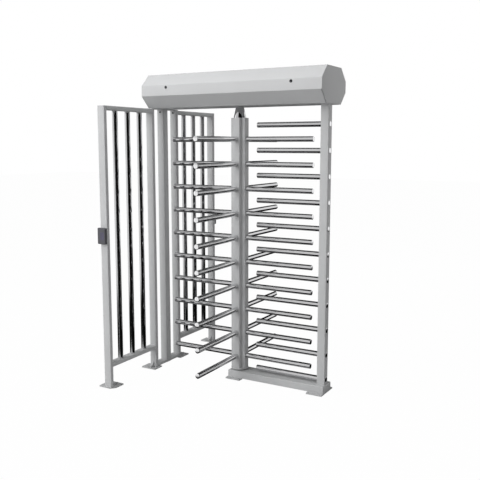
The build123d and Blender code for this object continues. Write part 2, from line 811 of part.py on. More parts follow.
with BuildPart() as encoder_disc:
    with BuildSketch(Plane.XY.offset(index_z + index_thick)):
        with Locations((rotor_x, 0)):
            Circle(encoder_hub_radius)
    extrude(amount=encoder_z - index_z - index_thick)
    with BuildSketch(Plane.XY.offset(encoder_z)):
        with Locations((rotor_x, 0)):
            Circle(encoder_radius)
            with PolarLocations(encoder_radius - encoder_slot_setback, encoder_slots):
                Rectangle(encoder_slot_length, encoder_slot_width, mode=Mode.SUBTRACT)
    extrude(amount=encoder_thick)
    with BuildSketch(Plane.XY.offset(index_z)):
        with Locations((rotor_x, 0)):
            Circle(shaft_radius)
    extrude(amount=shaft_top_z - index_z, mode=Mode.SUBTRACT)
save(encoder_disc, "encoder_disc")

# Locking pawls: each swings on its own pin and drops its nose into a notch of the index plate.
pawl_reach = 85.0          # pin centre to nose, along Y
pawl_arm_x = 113.0         # rotor axis to the pawl's arm
pawl_arm_width = 10.0
nose_half = 6.0
nose_rest_gap = 2.0
pawl_side_gap = 0.5
pawl_boss_radius = 13.0
pawl_thick = index_thick - 2 * pawl_side_gap
pin_radius = 6.0
pin_collar_radius = 10.0
pin_over = 5.0             # pin above its pawl
pawl_z = index_z + pawl_side_gap
pawl_names = {-1: "left", 1: "right"}
for side, name in pawl_names.items():
    pin_y = -side * pawl_reach
    arm_x = rotor_x + side * pawl_arm_x
    nose_x = rotor_x + side * (index_radius + nose_rest_gap)
    with BuildPart() as pawl:
        with BuildSketch(Plane.XY.offset(pawl_z)):
            with Locations((arm_x, pin_y)):
                Circle(pawl_boss_radius)
            with Locations((arm_x, pin_y + side * (pawl_reach + nose_half) / 2)):
                Rectangle(pawl_arm_width, pawl_reach + nose_half)
            with Locations(((arm_x + nose_x) / 2, 0)):
                Rectangle(abs(arm_x - nose_x), 2 * nose_half)
            with Locations((arm_x, pin_y)):
                Circle(pin_radius + running_gap, mode=Mode.SUBTRACT)
        extrude(amount=pawl_thick)
    save(pawl, f"{name}_pawl")

with BuildPart() as pawl_pins:
    for side in pawl_names:
        with BuildSketch(Plane.XY.offset(mech_z)):
            with Locations((rotor_x + side * pawl_arm_x, -side * pawl_reach)):
                Circle(pin_collar_radius)
        extrude(amount=pawl_z - clearance - mech_z)
        with BuildSketch(Plane.XY.offset(mech_z)):
            with Locations((rotor_x + side * pawl_arm_x, -side * pawl_reach)):
                Circle(pin_radius)
        extrude(amount=pawl_z + pawl_thick + pin_over - mech_z)
save(pawl_pins, "pawl_pins")

plunger_radius = 5.0
plunger_gap = 0.5
plunger_z = index_z + index_thick / 2
solenoid_start = 134.0     # rotor axis to the front of a solenoid
solenoid_length = 62.0
solenoid_side = 36.0
plunger_bore = 45.0
plunger_room = 12.0        # bore left behind the plunger for its travel
tip_slope = 40.0
tip_length = 3.0
for side, name in pawl_names.items():
    tip_x = rotor_x + side * (pawl_arm_x + pawl_arm_width / 2 + plunger_gap)
    tail_x = rotor_x + side * (solenoid_start + plunger_bore - plunger_room)
    with BuildPart() as plunger:
        with BuildSketch(Plane(origin=(tip_x + side * tip_length, 0, plunger_z), z_dir=(side, 0, 0))):
            Circle(plunger_radius - running_gap)
        extrude(amount=abs(tail_x - tip_x) - tip_length)
        with BuildSketch(Plane(origin=(tip_x + side * tip_length, 0, plunger_z), z_dir=(-side, 0, 0))):
            Circle(plunger_radius - running_gap)
        extrude(amount=tip_length, taper=tip_slope)
    save(plunger, f"{name}_plunger")

with BuildPart() as solenoids:
    for side in pawl_names:
        front = Plane(
            origin=(rotor_x + side * solenoid_start, 0, plunger_z), x_dir=(0, 1, 0), z_dir=(side, 0, 0)
        )
        with BuildSketch(front):
            Rectangle(solenoid_side, solenoid_side)
        extrude(amount=solenoid_length)
        with BuildSketch(front):
            Circle(plunger_radius)
        extrude(amount=plunger_bore, mode=Mode.SUBTRACT)
save(solenoids, "solenoids")

bracket_foot = 7.0
bracket_rail = 5.0
bracket_end = 4.0
with BuildPart() as solenoid_brackets:
    with BuildSketch(Plane.XY.offset(mech_z)):
        with Locations(*[(rotor_x + s * (solenoid_start + solenoid_length / 2), 0) for s in pawl_names]):
            Rectangle(solenoid_length, solenoid_side + 2 * bracket_foot)
            Rectangle(
                solenoid_length - 2 * bracket_end, solenoid_side - 2 * bracket_rail, mode=Mode.SUBTRACT
            )
    extrude(amount=plunger_z - solenoid_side / 2 - mech_z)
save(solenoid_brackets, "solenoid_brackets")

# A fork sensor straddles the rim of the encoder disc.
fork_reach = 16.0
fork_gap = 5.0
fork_height = 18.0
fork_width = 24.0
fork_stem = 10.0
fork_throat = 2.0          # from the stem to the end of the slot
fork_setback = 9.0         # stem face to the rim of the disc
fork_y = -(encoder_radius + fork_stem / 2 + fork_setback)
fork_head_y = fork_y + (fork_stem + fork_reach) / 2
with BuildPart() as fork_sensor:
    with BuildSketch(Plane.XY.offset(mech_z)):
        with Locations((rotor_x, fork_y)):
            Rectangle(fork_width, fork_stem)
    extrude(amount=encoder_z + fork_height / 2 - mech_z)
    with BuildSketch(Plane.XY.offset(encoder_z - fork_height / 2)):
        with Locations((rotor_x, fork_head_y)):
            Rectangle(fork_width, fork_reach)
    extrude(amount=fork_height)
    with BuildSketch(Plane.XY.offset(encoder_z + encoder_thick / 2 - fork_gap / 2)):
        with Locations((rotor_x, fork_head_y + fork_throat)):
            Rectangle(fork_width, fork_reach)
    extrude(amount=fork_gap, mode=Mode.SUBTRACT)
save(fork_sensor, "fork_sensor")

supply_x = rotor_x - 470.0
supply_length = 160.0
supply_width = 98.0
supply_height = 40.0
supply_corner = 3.0
with BuildPart() as power_supply:
    with BuildSketch(Plane.XY.offset(floor_z)):
        with Locations((supply_x, 0)):
            Rectangle(supply_length, supply_width)
    extrude(amount=supply_height)
    fillet(power_supply.edges().filter_by(Axis.Z), supply_corner)
save(power_supply, "power_supply")

board_x = rotor_x + 420.0
standoff = 12.0
board_thick = 1.6
board_length = 200.0
board_width = 110.0
standoff_edge = 8.0
standoff_radius = 4.0
terminal_x = 80.0
terminal_width = 14.0
terminal_length = 84.0
relay_place = (-10.0, 12.0)
relay_side = 28.0
board_part_height = 11.0
with BuildPart() as board_standoffs:
    with BuildSketch(Plane.XY.offset(floor_z)):
        with Locations((board_x, 0)):
            with GridLocations(board_length - 2 * standoff_edge, board_width - 2 * standoff_edge, 2, 2):
                RegularPolygon(standoff_radius, 6)
    extrude(amount=standoff)
save(board_standoffs, "board_standoffs")

with BuildPart() as control_board:
    with BuildSketch(Plane.XY.offset(floor_z + standoff)):
        with Locations((board_x, 0)):
            Rectangle(board_length, board_width)
    extrude(amount=board_thick)
    with BuildSketch(Plane.XY.offset(floor_z + standoff + board_thick)):
        with Locations((board_x - terminal_x, 0), (board_x + terminal_x, 0)):
            Rectangle(terminal_width, terminal_length)
        with Locations((board_x + relay_place[0], relay_place[1])):
            Rectangle(relay_side, relay_side)
    extrude(amount=board_part_height)
save(control_board, "control_board")

gland_bore = 5.0
gland_flats = 26.0
gland_body = 7.0
gland_cap_radius = 11.0
gland_cap = 8.0
gland_cap_slope = 8.0
gland_over = 8.0           # thread inside the header
gland_nut = 5.0
with BuildPart() as cable_gland:
    with BuildSketch(gland_plane):
        RegularPolygon(gland_flats / 2, 6, major_radius=False)
    extrude(amount=-gland_body)
    with BuildSketch(gland_plane.offset(-gland_body)):
        Circle(gland_cap_radius)
    extrude(amount=-gland_cap, taper=gland_cap_slope)
    with BuildSketch(gland_plane):
        Circle(gland_thread)
    extrude(amount=header_sheet + gland_over)
    with BuildSketch(gland_plane.offset(header_sheet)):
        RegularPolygon(gland_flats / 2, 6, major_radius=False)
    extrude(amount=gland_nut)
    with BuildSketch(gland_plane.offset(-gland_body - gland_cap)):
        Circle(gland_bore)
    extrude(amount=gland_body + gland_cap + header_sheet + gland_over, mode=Mode.SUBTRACT)
save(cable_gland, "cable_gland")

# ---------------------------------------------------------------- hinged lid
lock_z = facet_high_z - lock_setback
lock_xs = (rotor_x - lock_spread, rotor_x + lock_spread)
lock_head_radius = 11.0
lock_head = 1.5
barrel_radius = 9.5
barrel_length = 20.0
plug_core_radius = 6.0
tongue_thick = 3.0
tongue_half = 7.0
tongue_length = 30.0
key_slot = (1.4, 8.0)
key_slot_depth = 3.0
front_y = -half_header

with BuildPart() as header_lid:
    with BuildSketch(Plane.YZ.offset(header_x0 + header_sheet)):
        octagon()
        offset(amount=-header_sheet, kind=Kind.INTERSECTION, mode=Mode.SUBTRACT)
        with Locations((0, facet_low_z + seam / 2 - header_height / 2)):
            Rectangle(header_width, header_height, mode=Mode.SUBTRACT)
    extrude(amount=header_x1 - header_x0 - 2 * header_sheet)
    with BuildSketch(Plane.XZ.offset(-front_y - header_sheet)):
        with Locations(*[(x, lock_z) for x in lock_xs]):
            Circle(barrel_radius + clearance)
    extrude(amount=header_sheet, mode=Mode.SUBTRACT)
save(header_lid, "header_lid")

with BuildPart() as lid_end_plates:
    for x in (header_x0, header_x1 - header_sheet):
        with BuildSketch(Plane.YZ.offset(x)):
            octagon()
        extrude(amount=header_sheet)
save(lid_end_plates, "lid_end_plates")

with BuildPart() as lock_barrels:
    for x in lock_xs:
        with BuildSketch(Plane.XZ.offset(-front_y)):
            with Locations((x, lock_z)):
                Circle(lock_head_radius)
        extrude(amount=lock_head)
        with BuildSketch(Plane.XZ.offset(-front_y)):
            with Locations((x, lock_z)):
                Circle(barrel_radius)
        extrude(amount=-barrel_length)
        with BuildSketch(Plane.XZ.offset(-front_y + lock_head)):
            with Locations((x, lock_z)):
                Circle(plug_core_radius + running_gap)
        extrude(amount=-barrel_length - lock_head, mode=Mode.SUBTRACT)
save(lock_barrels, "lock_barrels")

for x, name in zip(lock_xs, ("left", "right")):
    with BuildPart() as lock_plug:
        with BuildSketch(Plane.XZ.offset(-front_y + lock_head)):
            with Locations((x, lock_z)):
                Circle(plug_core_radius)
        extrude(amount=-(lock_head + barrel_length + clearance))
        with BuildSketch(Plane.XZ.offset(-front_y + lock_head)):
            with Locations((x, lock_z)):
                Rectangle(*key_slot)
        extrude(amount=-key_slot_depth, mode=Mode.SUBTRACT)
        with BuildSketch(Plane.XZ.offset(-front_y - barrel_length - clearance)):
            with Locations((x, lock_z)):
                Circle(tongue_half)
            with Locations((x, lock_z - tongue_length / 2)):
                Rectangle(2 * tongue_half, tongue_length)
        extrude(amount=-tongue_thick)
    save(lock_plug, f"{name}_lock_plug")

# Keepers stand on the trough's front lip; a turned tongue catches under their flange.
keeper_thick = 3.0
keeper_start = 18.0
keeper_width = 18.0
keeper_leg_y = front_y + 31.0
keeper_edge_y = front_y + 16.0
keeper_flange_z = lock_z + tongue_half + 1.0
lip_inner_y = -(lip_y - header_sheet / 2)
keeper_foot_z = facet_low_z + 8.0
with BuildPart() as lock_keepers:
    for x in lock_xs:
        with BuildSketch(Plane.YZ.offset(x + keeper_start)):
            with BuildLine():
                Polyline(
                    (lip_inner_y, keeper_foot_z),
                    (keeper_leg_y + keeper_thick, keeper_foot_z),
                    (keeper_leg_y + keeper_thick, keeper_flange_z + keeper_thick),
                    (keeper_edge_y, keeper_flange_z + keeper_thick),
                    (keeper_edge_y, keeper_flange_z),
                    (keeper_leg_y, keeper_flange_z),
                    (keeper_leg_y, keeper_foot_z + keeper_thick),
                    (lip_inner_y, keeper_foot_z + keeper_thick),
                    close=True,
                )
            make_face()
        extrude(amount=keeper_width)
save(lock_keepers, "lock_keepers")

# Butt hinges along the rear edge of the header.
hinge_setout = 5.0
hinge_y = half_header + hinge_setout
hinge_z = facet_low_z
knuckle_radius = 4.0
hinge_pin_radius = 2.0
hinge_length = 90.0
knuckle_gap = 0.5
leaf_thick = 2.0
leaf_width = 26.0
leaf_lift = 0.3
leaf_foot = 1.5            # start of the fixed leaf's flat part
leaf_root = 0.1            # its overlap with the strip that meets the knuckle
knuckle_strip = 3.0
moving_leaf_rise = 5.0
moving_leaf_neck = 6.0
hinge_spread = 520.0
hinge_xs = [rotor_x + step * hinge_spread for step in (-1, 0, 1)]
knuckle_length = (hinge_length - 2 * knuckle_gap) / 3
down = Vector(-1, -1, 0) / 2 ** 0.5     # along the slanted facet, in the YZ section
out = Vector(1, -1, 0) / 2 ** 0.5       # away from it
facet_corner = Vector(half_header, facet_low_z, 0)


def facet_strip(start, end):
    """A strip of the fixed leaf between two distances along the slanted facet."""
    inside = facet_corner + out * leaf_lift
    outside = inside + out * leaf_thick
    corners = (inside + down * start, outside + down * start, outside + down * end, inside + down * end)
    Polygon(*[(c.X, c.Y) for c in corners], align=None)


with BuildPart() as hinge_fixed_leaves:
    for x in hinge_xs:
        x0 = x - hinge_length / 2
        with BuildSketch(Plane.YZ.offset(x0)):
            facet_strip(leaf_foot, leaf_width)
        extrude(amount=hinge_length)
        for start in (x0, x0 + hinge_length - knuckle_length):
            with BuildSketch(Plane.YZ.offset(start)):
                facet_strip(-knuckle_strip, leaf_foot + leaf_root)
                with Locations((hinge_y, hinge_z)):
                    Circle(knuckle_radius)
            extrude(amount=knuckle_length)
        with BuildSketch(Plane.YZ.offset(x0)):
            with Locations((hinge_y, hinge_z)):
                Circle(hinge_pin_radius + running_gap)
        extrude(amount=hinge_length, mode=Mode.SUBTRACT)
save(hinge_fixed_leaves, "hinge_fixed_leaves")

leaf_y = half_header + leaf_lift + leaf_thick / 2
with BuildPart() as hinge_moving_leaves:
    for x in hinge_xs:
        x0 = x - hinge_length / 2
        with BuildSketch(Plane.YZ.offset(x0)):
            with Locations((leaf_y, hinge_z + moving_leaf_rise + leaf_width / 2)):
                Rectangle(leaf_thick, leaf_width)
        extrude(amount=hinge_length)
        with BuildSketch(Plane.YZ.offset(x - knuckle_length / 2)):
            with Locations((leaf_y, hinge_z + moving_leaf_neck / 2)):
                Rectangle(leaf_thick, moving_leaf_neck)
            with Locations((hinge_y, hinge_z)):
                Circle(knuckle_radius)
                Circle(hinge_pin_radius + running_gap, mode=Mode.SUBTRACT)
        extrude(amount=knuckle_length)
save(hinge_moving_leaves, "hinge_moving_leaves")

with BuildPart() as hinge_pins:
    for x in hinge_xs:
        with BuildSketch(Plane.YZ.offset(x - hinge_length / 2)):
            with Locations((hinge_y, hinge_z)):
                Circle(hinge_pin_radius)
        extrude(amount=hinge_length)
save(hinge_pins, "hinge_pins")
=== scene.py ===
"""Looks of a full-height visitor counting turnstile.

Painted posts and header, polished bars and moulded card readers.
"""

from math import cos, pi, radians, sin

import bpy
from bpy.props import FloatProperty, FloatVectorProperty, IntProperty, PointerProperty
from mathutils import Matrix, Vector


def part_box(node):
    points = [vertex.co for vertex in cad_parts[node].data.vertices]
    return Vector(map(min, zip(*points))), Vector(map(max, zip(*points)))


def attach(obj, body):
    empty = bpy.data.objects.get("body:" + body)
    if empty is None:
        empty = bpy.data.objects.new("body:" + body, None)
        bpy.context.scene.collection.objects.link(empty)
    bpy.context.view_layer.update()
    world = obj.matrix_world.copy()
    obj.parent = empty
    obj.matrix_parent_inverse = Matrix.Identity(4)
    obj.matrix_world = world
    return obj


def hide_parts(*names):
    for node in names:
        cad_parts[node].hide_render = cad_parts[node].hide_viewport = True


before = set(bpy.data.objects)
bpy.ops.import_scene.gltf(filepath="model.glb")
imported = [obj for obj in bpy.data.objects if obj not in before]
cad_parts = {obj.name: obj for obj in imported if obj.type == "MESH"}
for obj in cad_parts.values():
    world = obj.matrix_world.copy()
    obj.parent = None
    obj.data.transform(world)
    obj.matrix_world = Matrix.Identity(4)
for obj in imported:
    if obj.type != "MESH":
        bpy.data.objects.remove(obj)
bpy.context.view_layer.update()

bl_info = {
    "name": "Counting turnstile",
    "version": (1, 0, 0),
    "blender": (4, 5, 0),
    "location": "View3D > Sidebar > Turnstile",
    "description": "Dresses the turnstile's frame with painted, polished and moulded pieces",
    "category": "Object",
}

X, Y, Z = Vector((1, 0, 0)), Vector((0, 1, 0)), Vector((0, 0, 1))

# ---- places read from the frame


def middle(node):
    """Centre of a node's box."""
    low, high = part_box(node)
    return (low + high) / 2


ROTOR = middle("top_cone")
ROTOR.z = 0.0
WALL = middle("main_post")
WALL.z = 0.0
COMB = middle("comb_post")
COMB.z = 0.0
HEADER_LOW, HEADER_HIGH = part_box("lid_end_plates")
COLUMN_LOW, COLUMN_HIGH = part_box("wing_channels")

# Rows and sections that repeat the source's own dimensions.
ARM_ROWS = 10
ARM_PITCH = 0.182
FIRST_ARM = 0.176
COMB_DROP = 0.080
ARM_RADIUS = 0.019
ARM_END = 0.592
CAP_FACE = 0.002
CORE_HALF = 0.030
CHANNEL_REACH = 0.059
COMB_START = 0.152
SHEET = 0.002
CHAMFER = 0.086
SEAM_Z = HEADER_LOW.z + CHAMFER
SHAFT_RADIUS = 0.01995
FENCE_DEPTH = 0.030
GUIDE_COUNT = 3
LONG_GUSSET = 0.082
SHORT_GUSSET = 0.041
INNER_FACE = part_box("inner_posts")[1].y
OUTER_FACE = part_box("top_rails")[1].y
PANEL = OUTER_FACE - INNER_FACE
POST_HALF = 0.030
FENCE_WALL = 0.0025
FIT_GAP = 0.0003
DISC_RADIUS, DISC_HEIGHT = 0.066, 0.008
COLLAR_RADIUS, PIVOT_RADIUS = 0.020, 0.01245
CONE_FOOT, CONE_TOP = 0.046, 0.030
CROSS_PLATE = 0.003
FLANGE_RADIUS, FLANGE_TOP = 0.030, 0.013
LIP_Y = 0.2065
HINGE_SCREW_BACK, HINGE_SCREW_FACE, HINGE_SCREW_LEVEL = 0.2132, 0.2146, 2.154
READER_DEPTH = 0.020
GLASS_HALF_WIDTH, GLASS_HALF_HEIGHT = 0.0167, 0.0277
SOLENOID_LENGTH = 0.062
SMOOTH_ANGLE = radians(35)

ARM_LEVELS = [FIRST_ARM + row * ARM_PITCH for row in range(ARM_ROWS)]
COMB_LEVELS = [FIRST_ARM - COMB_DROP + row * ARM_PITCH for row in range(ARM_ROWS + 1)]


# ---- modelling helpers


def only(piece):
    """Selects one object and makes it active."""
    bpy.ops.object.select_all(action="DESELECT")
    piece.select_set(True)
    bpy.context.view_layer.objects.active = piece


def settle(piece, name):
    """Puts a new primitive's place and size into its mesh and names it."""
    only(piece)
    bpy.ops.object.transform_apply(location=True, rotation=True, scale=True)
    piece.name = name
    piece.data.name = name
    return piece


def block(name, low, high):
    """A box between two corners, to be shaped further."""
    low, high = Vector(low), Vector(high)
    bpy.ops.mesh.primitive_cube_add(size=1, location=(low + high) / 2)
    piece = bpy.context.active_object
    piece.scale = high - low
    return settle(piece, name)


def rod(name, start, end, radius, sides=48):
    """A round bar between two points."""
    start, end = Vector(start), Vector(end)
    way = end - start
    bpy.ops.mesh.primitive_cylinder_add(
        vertices=sides,
        radius=radius,
        depth=way.length,
        location=(start + end) / 2,
        rotation=way.to_track_quat("Z", "Y").to_euler(),
    )
    return settle(bpy.context.active_object, name)


def ring(name, centre, axis, radius, thickness, sides=40):
    """A ring around an axis, such as a weld bead."""
    bpy.ops.mesh.primitive_torus_add(
        major_radius=radius,
        minor_radius=thickness,
        major_segments=sides,
        minor_segments=8,
        location=centre,
        rotation=Vector(axis).to_track_quat("Z", "Y").to_euler(),
    )
    return settle(bpy.context.active_object, name)


def mark(piece, faces=None, edges=None):
    """Selects the faces or the edges that a test accepts, and opens edit mode on them."""
    only(piece)
    mesh = piece.data
    for part in (mesh.vertices, mesh.edges, mesh.polygons):
        part.foreach_set("select", [False] * len(part))
    found = 0
    if faces:
        for face in mesh.polygons:
            if faces(face.center, face.normal):
                found += 1
                face.select = True
                for index in face.vertices:
                    mesh.vertices[index].select = True
                for key in face.edge_keys:
                    mark_edge(mesh, key)
    else:
        for edge in mesh.edges:
            a, b = (mesh.vertices[i].co for i in edge.vertices)
            if edges((a + b) / 2, b - a):
                found += 1
                edge.select = True
                for index in edge.vertices:
                    mesh.vertices[index].select = True
    if not found:
        raise RuntimeError(f"nothing to shape on {piece.name}")
    bpy.context.tool_settings.mesh_select_mode = (False, not faces, bool(faces))
    bpy.ops.object.mode_set(mode="EDIT")


def mark_edge(mesh, key):
    """Selects one edge by its pair of vertices."""
    index = EDGE_TABLES.setdefault(mesh.name, {})
    if len(index) != len(mesh.edges):
        index.clear()
        index.update({tuple(sorted(e.vertices)): e.index for e in mesh.edges})
    mesh.edges[index[tuple(sorted(key))]].select = True


EDGE_TABLES = {}


def done():
    """Leaves edit mode."""
    bpy.ops.object.mode_set(mode="OBJECT")


def round_edges(piece, radius, test, segments=4):
    """Rounds the edges that a test accepts."""
    mark(piece, edges=test)
    bpy.ops.mesh.bevel(offset=radius, segments=segments, profile=0.5, affect="EDGES")
    done()


def soften(piece, way, offset, segments):
    """Bevels the rim of the faces that look one way."""
    mark(piece, faces=facing(way))
    bpy.ops.mesh.bevel(offset=offset, segments=segments, affect="EDGES")
    done()


def along(axis):
    """A test for edges that run along an axis."""
    return lambda mid, way: abs(way.normalized().dot(axis)) > 0.999


def facing(axis):
    """A test for faces that look along an axis."""
    return lambda centre, normal: normal.dot(axis) > 0.999


def hollow(piece, test, wall, depth):
    """Insets the faces that a test accepts and pushes them in, as a tube's open end."""
    mark(piece, faces=test)
    bpy.ops.mesh.inset(thickness=wall, depth=0)
    bpy.ops.mesh.inset(thickness=0, depth=-depth)
    done()


def square_tube(name, low, high, axis, radius, wall=0.003):
    """A square tube with rounded corners and open ends."""
    piece = block(name, low, high)
    round_edges(piece, radius, along(axis))
    for way in (axis, -axis):
        hollow(piece, facing(way), wall, 0.03)
    return piece


def repeated(name, piece, places):
    """Copies a piece to each place, every copy with its own mesh, and joins them all."""
    copies = []
    for place in places:
        other = piece.copy()
        other.data = piece.data.copy()
        other.data.transform(place)
        bpy.context.scene.collection.objects.link(other)
        copies.append(other)
    bpy.data.objects.remove(piece)
    return joined(name, copies)


def pair_across(name, near, shift):
    """Copies a piece by a distance along Y and joins the two."""
    return repeated(name, near, [Matrix.Identity(4), Matrix.Translation((0, shift, 0))])


def joined(name, pieces):
    """Joins pieces into one object."""
    bpy.ops.object.select_all(action="DESELECT")
    for piece in pieces:
        piece.select_set(True)
    bpy.context.view_layer.objects.active = pieces[0]
    if len(pieces) > 1:
        bpy.ops.object.join()
    piece = bpy.context.view_layer.objects.active
    piece.name = name
    piece.data.name = name
    return piece


def finished(piece, look, body, nodes=()):
    """Gives a piece its finish and its shading, and hangs it on its body."""
    only(piece)
    bpy.ops.object.shade_smooth_by_angle(angle=SMOOTH_ANGLE)
    piece.data.materials.clear()
    piece.data.materials.append(finish(look))
    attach(piece, body)
    if nodes:
        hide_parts(*nodes)


def painted(piece, body, *nodes):
    """Finishes a painted piece that stands for CAD nodes."""
    finished(piece, "painted steel", body, nodes)


def welded(beads, body):
    """Finishes a set of painted weld beads."""
    finished(beads, "painted weld", body)


def turned(place, angle):
    """A turn about an upright axis through a place."""
    return Matrix.Translation(place) @ Matrix.Rotation(angle, 4, "Z") @ Matrix.Translation(-place)


# ---- finishes


class Wire:
    """An output socket with arithmetic: an expression on wires adds Math nodes."""

    def __init__(self, finish, socket):
        self.finish = finish
        self.socket = socket

    def _math(self, operation, first, second):
        return self.finish.add("ShaderNodeMath", {"operation": operation}, {0: first, 1: second})

    def __add__(self, other):
        return self._math("ADD", self, other)

    __radd__ = __add__

    def __rsub__(self, other):
        return self._math("SUBTRACT", other, self)

    def __mul__(self, other):
        return self._math("MULTIPLY", self, other)

    __rmul__ = __mul__

    def __truediv__(self, other):
        return self._math("DIVIDE", self, other)

    def __pow__(self, other):
        return self._math("POWER", self, other)


class Finish:
    """A material, or the world, and its node tree."""

    def __init__(self, name, world=False):
        self.owner = bpy.data.worlds.new(name) if world else bpy.data.materials.new(name)
        self.owner.use_nodes = True
        self.nodes = self.owner.node_tree.nodes
        self.links = self.owner.node_tree.links
        self.nodes.clear()

    def add(self, kind, settings=None, inputs=None, output=0):
        """Adds a node: its settings first, then the values or links of its sockets."""
        node = self.nodes.new(kind)
        for key, value in (settings or {}).items():
            setattr(node, key, value)
        for key, value in (inputs or {}).items():
            socket = node.inputs[key]
            if isinstance(value, Wire):
                self.links.new(value.socket, socket)
            elif isinstance(value, tuple) and len(value) == 3 and socket.type == "RGBA":
                socket.default_value = (*value, 1)
            else:
                socket.default_value = value
        return Wire(self, node.outputs[output])

    def place(self, scale=(1, 1, 1)):
        """Object coordinates, stretched."""
        coordinates = self.add("ShaderNodeTexCoord", output="Object")
        return self.add("ShaderNodeMapping", inputs={"Vector": coordinates, "Scale": scale})

    def noise(self, size, scale=(1, 1, 1), detail=3.0, roughness=0.55):
        """Noise with a feature size in metres, from 0 to 1."""
        return self.add(
            "ShaderNodeTexNoise",
            {"noise_dimensions": "3D"},
            {"Vector": self.place(scale), "Scale": 1 / size, "Detail": detail, "Roughness": roughness},
        )

    def span(self, value, low, high, to_low=0.0, to_high=1.0):
        """Maps a range of values to another and clamps it."""
        return self.add(
            "ShaderNodeMapRange",
            {"clamp": True},
            {"Value": value, "From Min": low, "From Max": high, "To Min": to_low, "To Max": to_high},
        )

    def blend(self, factor, first, second):
        """Mixes two colours."""
        return self.add("ShaderNodeMix", {"data_type": "RGBA"}, {0: factor, 6: first, 7: second}, output=2)

    def bump(self, height, distance, strength):
        """A normal from a height, in metres."""
        inputs = {"Height": height, "Distance": distance, "Strength": strength}
        return self.add("ShaderNodeBump", {}, inputs)

    def surface(self, **sockets):
        """The Principled surface and the output; socket names take underscores for spaces."""
        inputs = {key.replace("_", " "): value for key, value in sockets.items()}
        shader = self.add("ShaderNodeBsdfPrincipled", {}, inputs)
        self.add_output(shader)
        return self.owner

    def add_output(self, shader):
        output = self.nodes.new("ShaderNodeOutputMaterial")
        self.links.new(shader.socket, output.inputs["Surface"])


def shade(colour, factor):
    """A colour made lighter or darker."""
    return tuple(min(1.0, c * factor) for c in colour)


def powder_coat(name, colour, wear=0.0):
    """Satin powder coat: orange peel, soft cloudiness and a little dust low down."""
    f = Finish(name)
    cloud = f.noise(0.35, detail=4.0)
    peel = f.noise(0.0022, detail=2.0, roughness=0.4)
    speck = f.noise(0.0009, detail=1.0)
    tone = f.blend(f.span(cloud, 0.3, 0.7), shade(colour, 0.965), shade(colour, 1.02))
    tone = f.blend(f.span(speck, 0.62, 0.72, 0.0, 0.25), tone, shade(colour, 0.86))
    dust = f.span(f.noise(0.02, detail=5.0) * f.noise(0.3, detail=2.0), 0.26, 0.42, 0.0, wear)
    tone = f.blend(dust, tone, shade(colour, 0.8))
    return f.surface(
        Base_Color=tone,
        Roughness=0.36 + 0.10 * cloud + 0.05 * peel,
        Normal=f.bump(peel, 0.00012, 0.55),
    )


def drawn_steel(name, colour, axis, roughness=0.045):
    """Polished stainless tube with fine lines drawn along its axis."""
    f = Finish(name)
    stretch = tuple(0.004 if a else 1.0 for a in axis)
    lines = f.noise(0.004, stretch, detail=2.0, roughness=0.5)
    smears = f.noise(0.08, detail=3.0)
    tone = f.blend(f.span(lines, 0.3, 0.7), shade(colour, 0.97), shade(colour, 1.02))
    return f.surface(
        Base_Color=tone,
        Metallic=1.0,
        Roughness=roughness + 0.012 * f.span(lines, 0.35, 0.75) + 0.02 * f.span(smears, 0.45, 0.7),
        Normal=f.bump(lines, 0.000004, 0.1),
    )


def mirror_steel(name, colour, roughness=0.09):
    """Bright turned steel with faint handling marks."""
    f = Finish(name)
    smears = f.noise(0.03, detail=4.0)
    tone = f.blend(f.span(smears, 0.3, 0.7), shade(colour, 0.95), colour)
    return f.surface(
        Base_Color=tone,
        Metallic=1.0,
        Roughness=roughness + 0.08 * f.span(smears, 0.4, 0.75),
        Normal=f.bump(f.noise(0.004, detail=2.0), 0.00003, 0.3),
    )


def zinc_plate(name, colour):
    """Zinc-plated steel: a faint spangle with warm and cool patches."""
    f = Finish(name)
    patches = f.noise(0.05, detail=4.0)
    grain = f.noise(0.0015, detail=3.0)
    spangle = f.add(
        "ShaderNodeTexVoronoi", {"feature": "F1"}, {"Vector": f.place(), "Scale": 140.0}, "Color"
    )
    warm = (colour[0] * 1.04, colour[1], colour[2] * 0.93)
    tone = f.blend(f.span(patches, 0.35, 0.65), shade(colour, 0.9), warm)
    tone = f.blend(0.06, tone, spangle)
    return f.surface(
        Base_Color=tone,
        Metallic=0.9,
        Roughness=0.30 + 0.14 * patches + 0.06 * grain,
        Normal=f.bump(grain, 0.00003, 0.5),
    )


def moulded_plastic(name, colour, roughness=0.45):
    """Moulded plastic with a fine spark-eroded grain."""
    f = Finish(name)
    grain = f.noise(0.0007, detail=2.0)
    cloud = f.noise(0.05, detail=3.0)
    return f.surface(
        Base_Color=f.blend(f.span(cloud, 0.3, 0.7), shade(colour, 0.9), shade(colour, 1.1)),
        Roughness=roughness + 0.10 * grain,
        Normal=f.bump(grain, 0.00006, 0.7),
    )


def gloss_window(name, colour):
    """A glossy tinted window over the reader's aerial."""
    f = Finish(name)
    smears = f.noise(0.012, detail=4.0)
    return f.surface(
        Base_Color=f.blend(f.span(smears, 0.35, 0.7), shade(colour, 0.85), shade(colour, 1.1)),
        Roughness=0.34 + 0.08 * f.span(smears, 0.45, 0.75),
    )


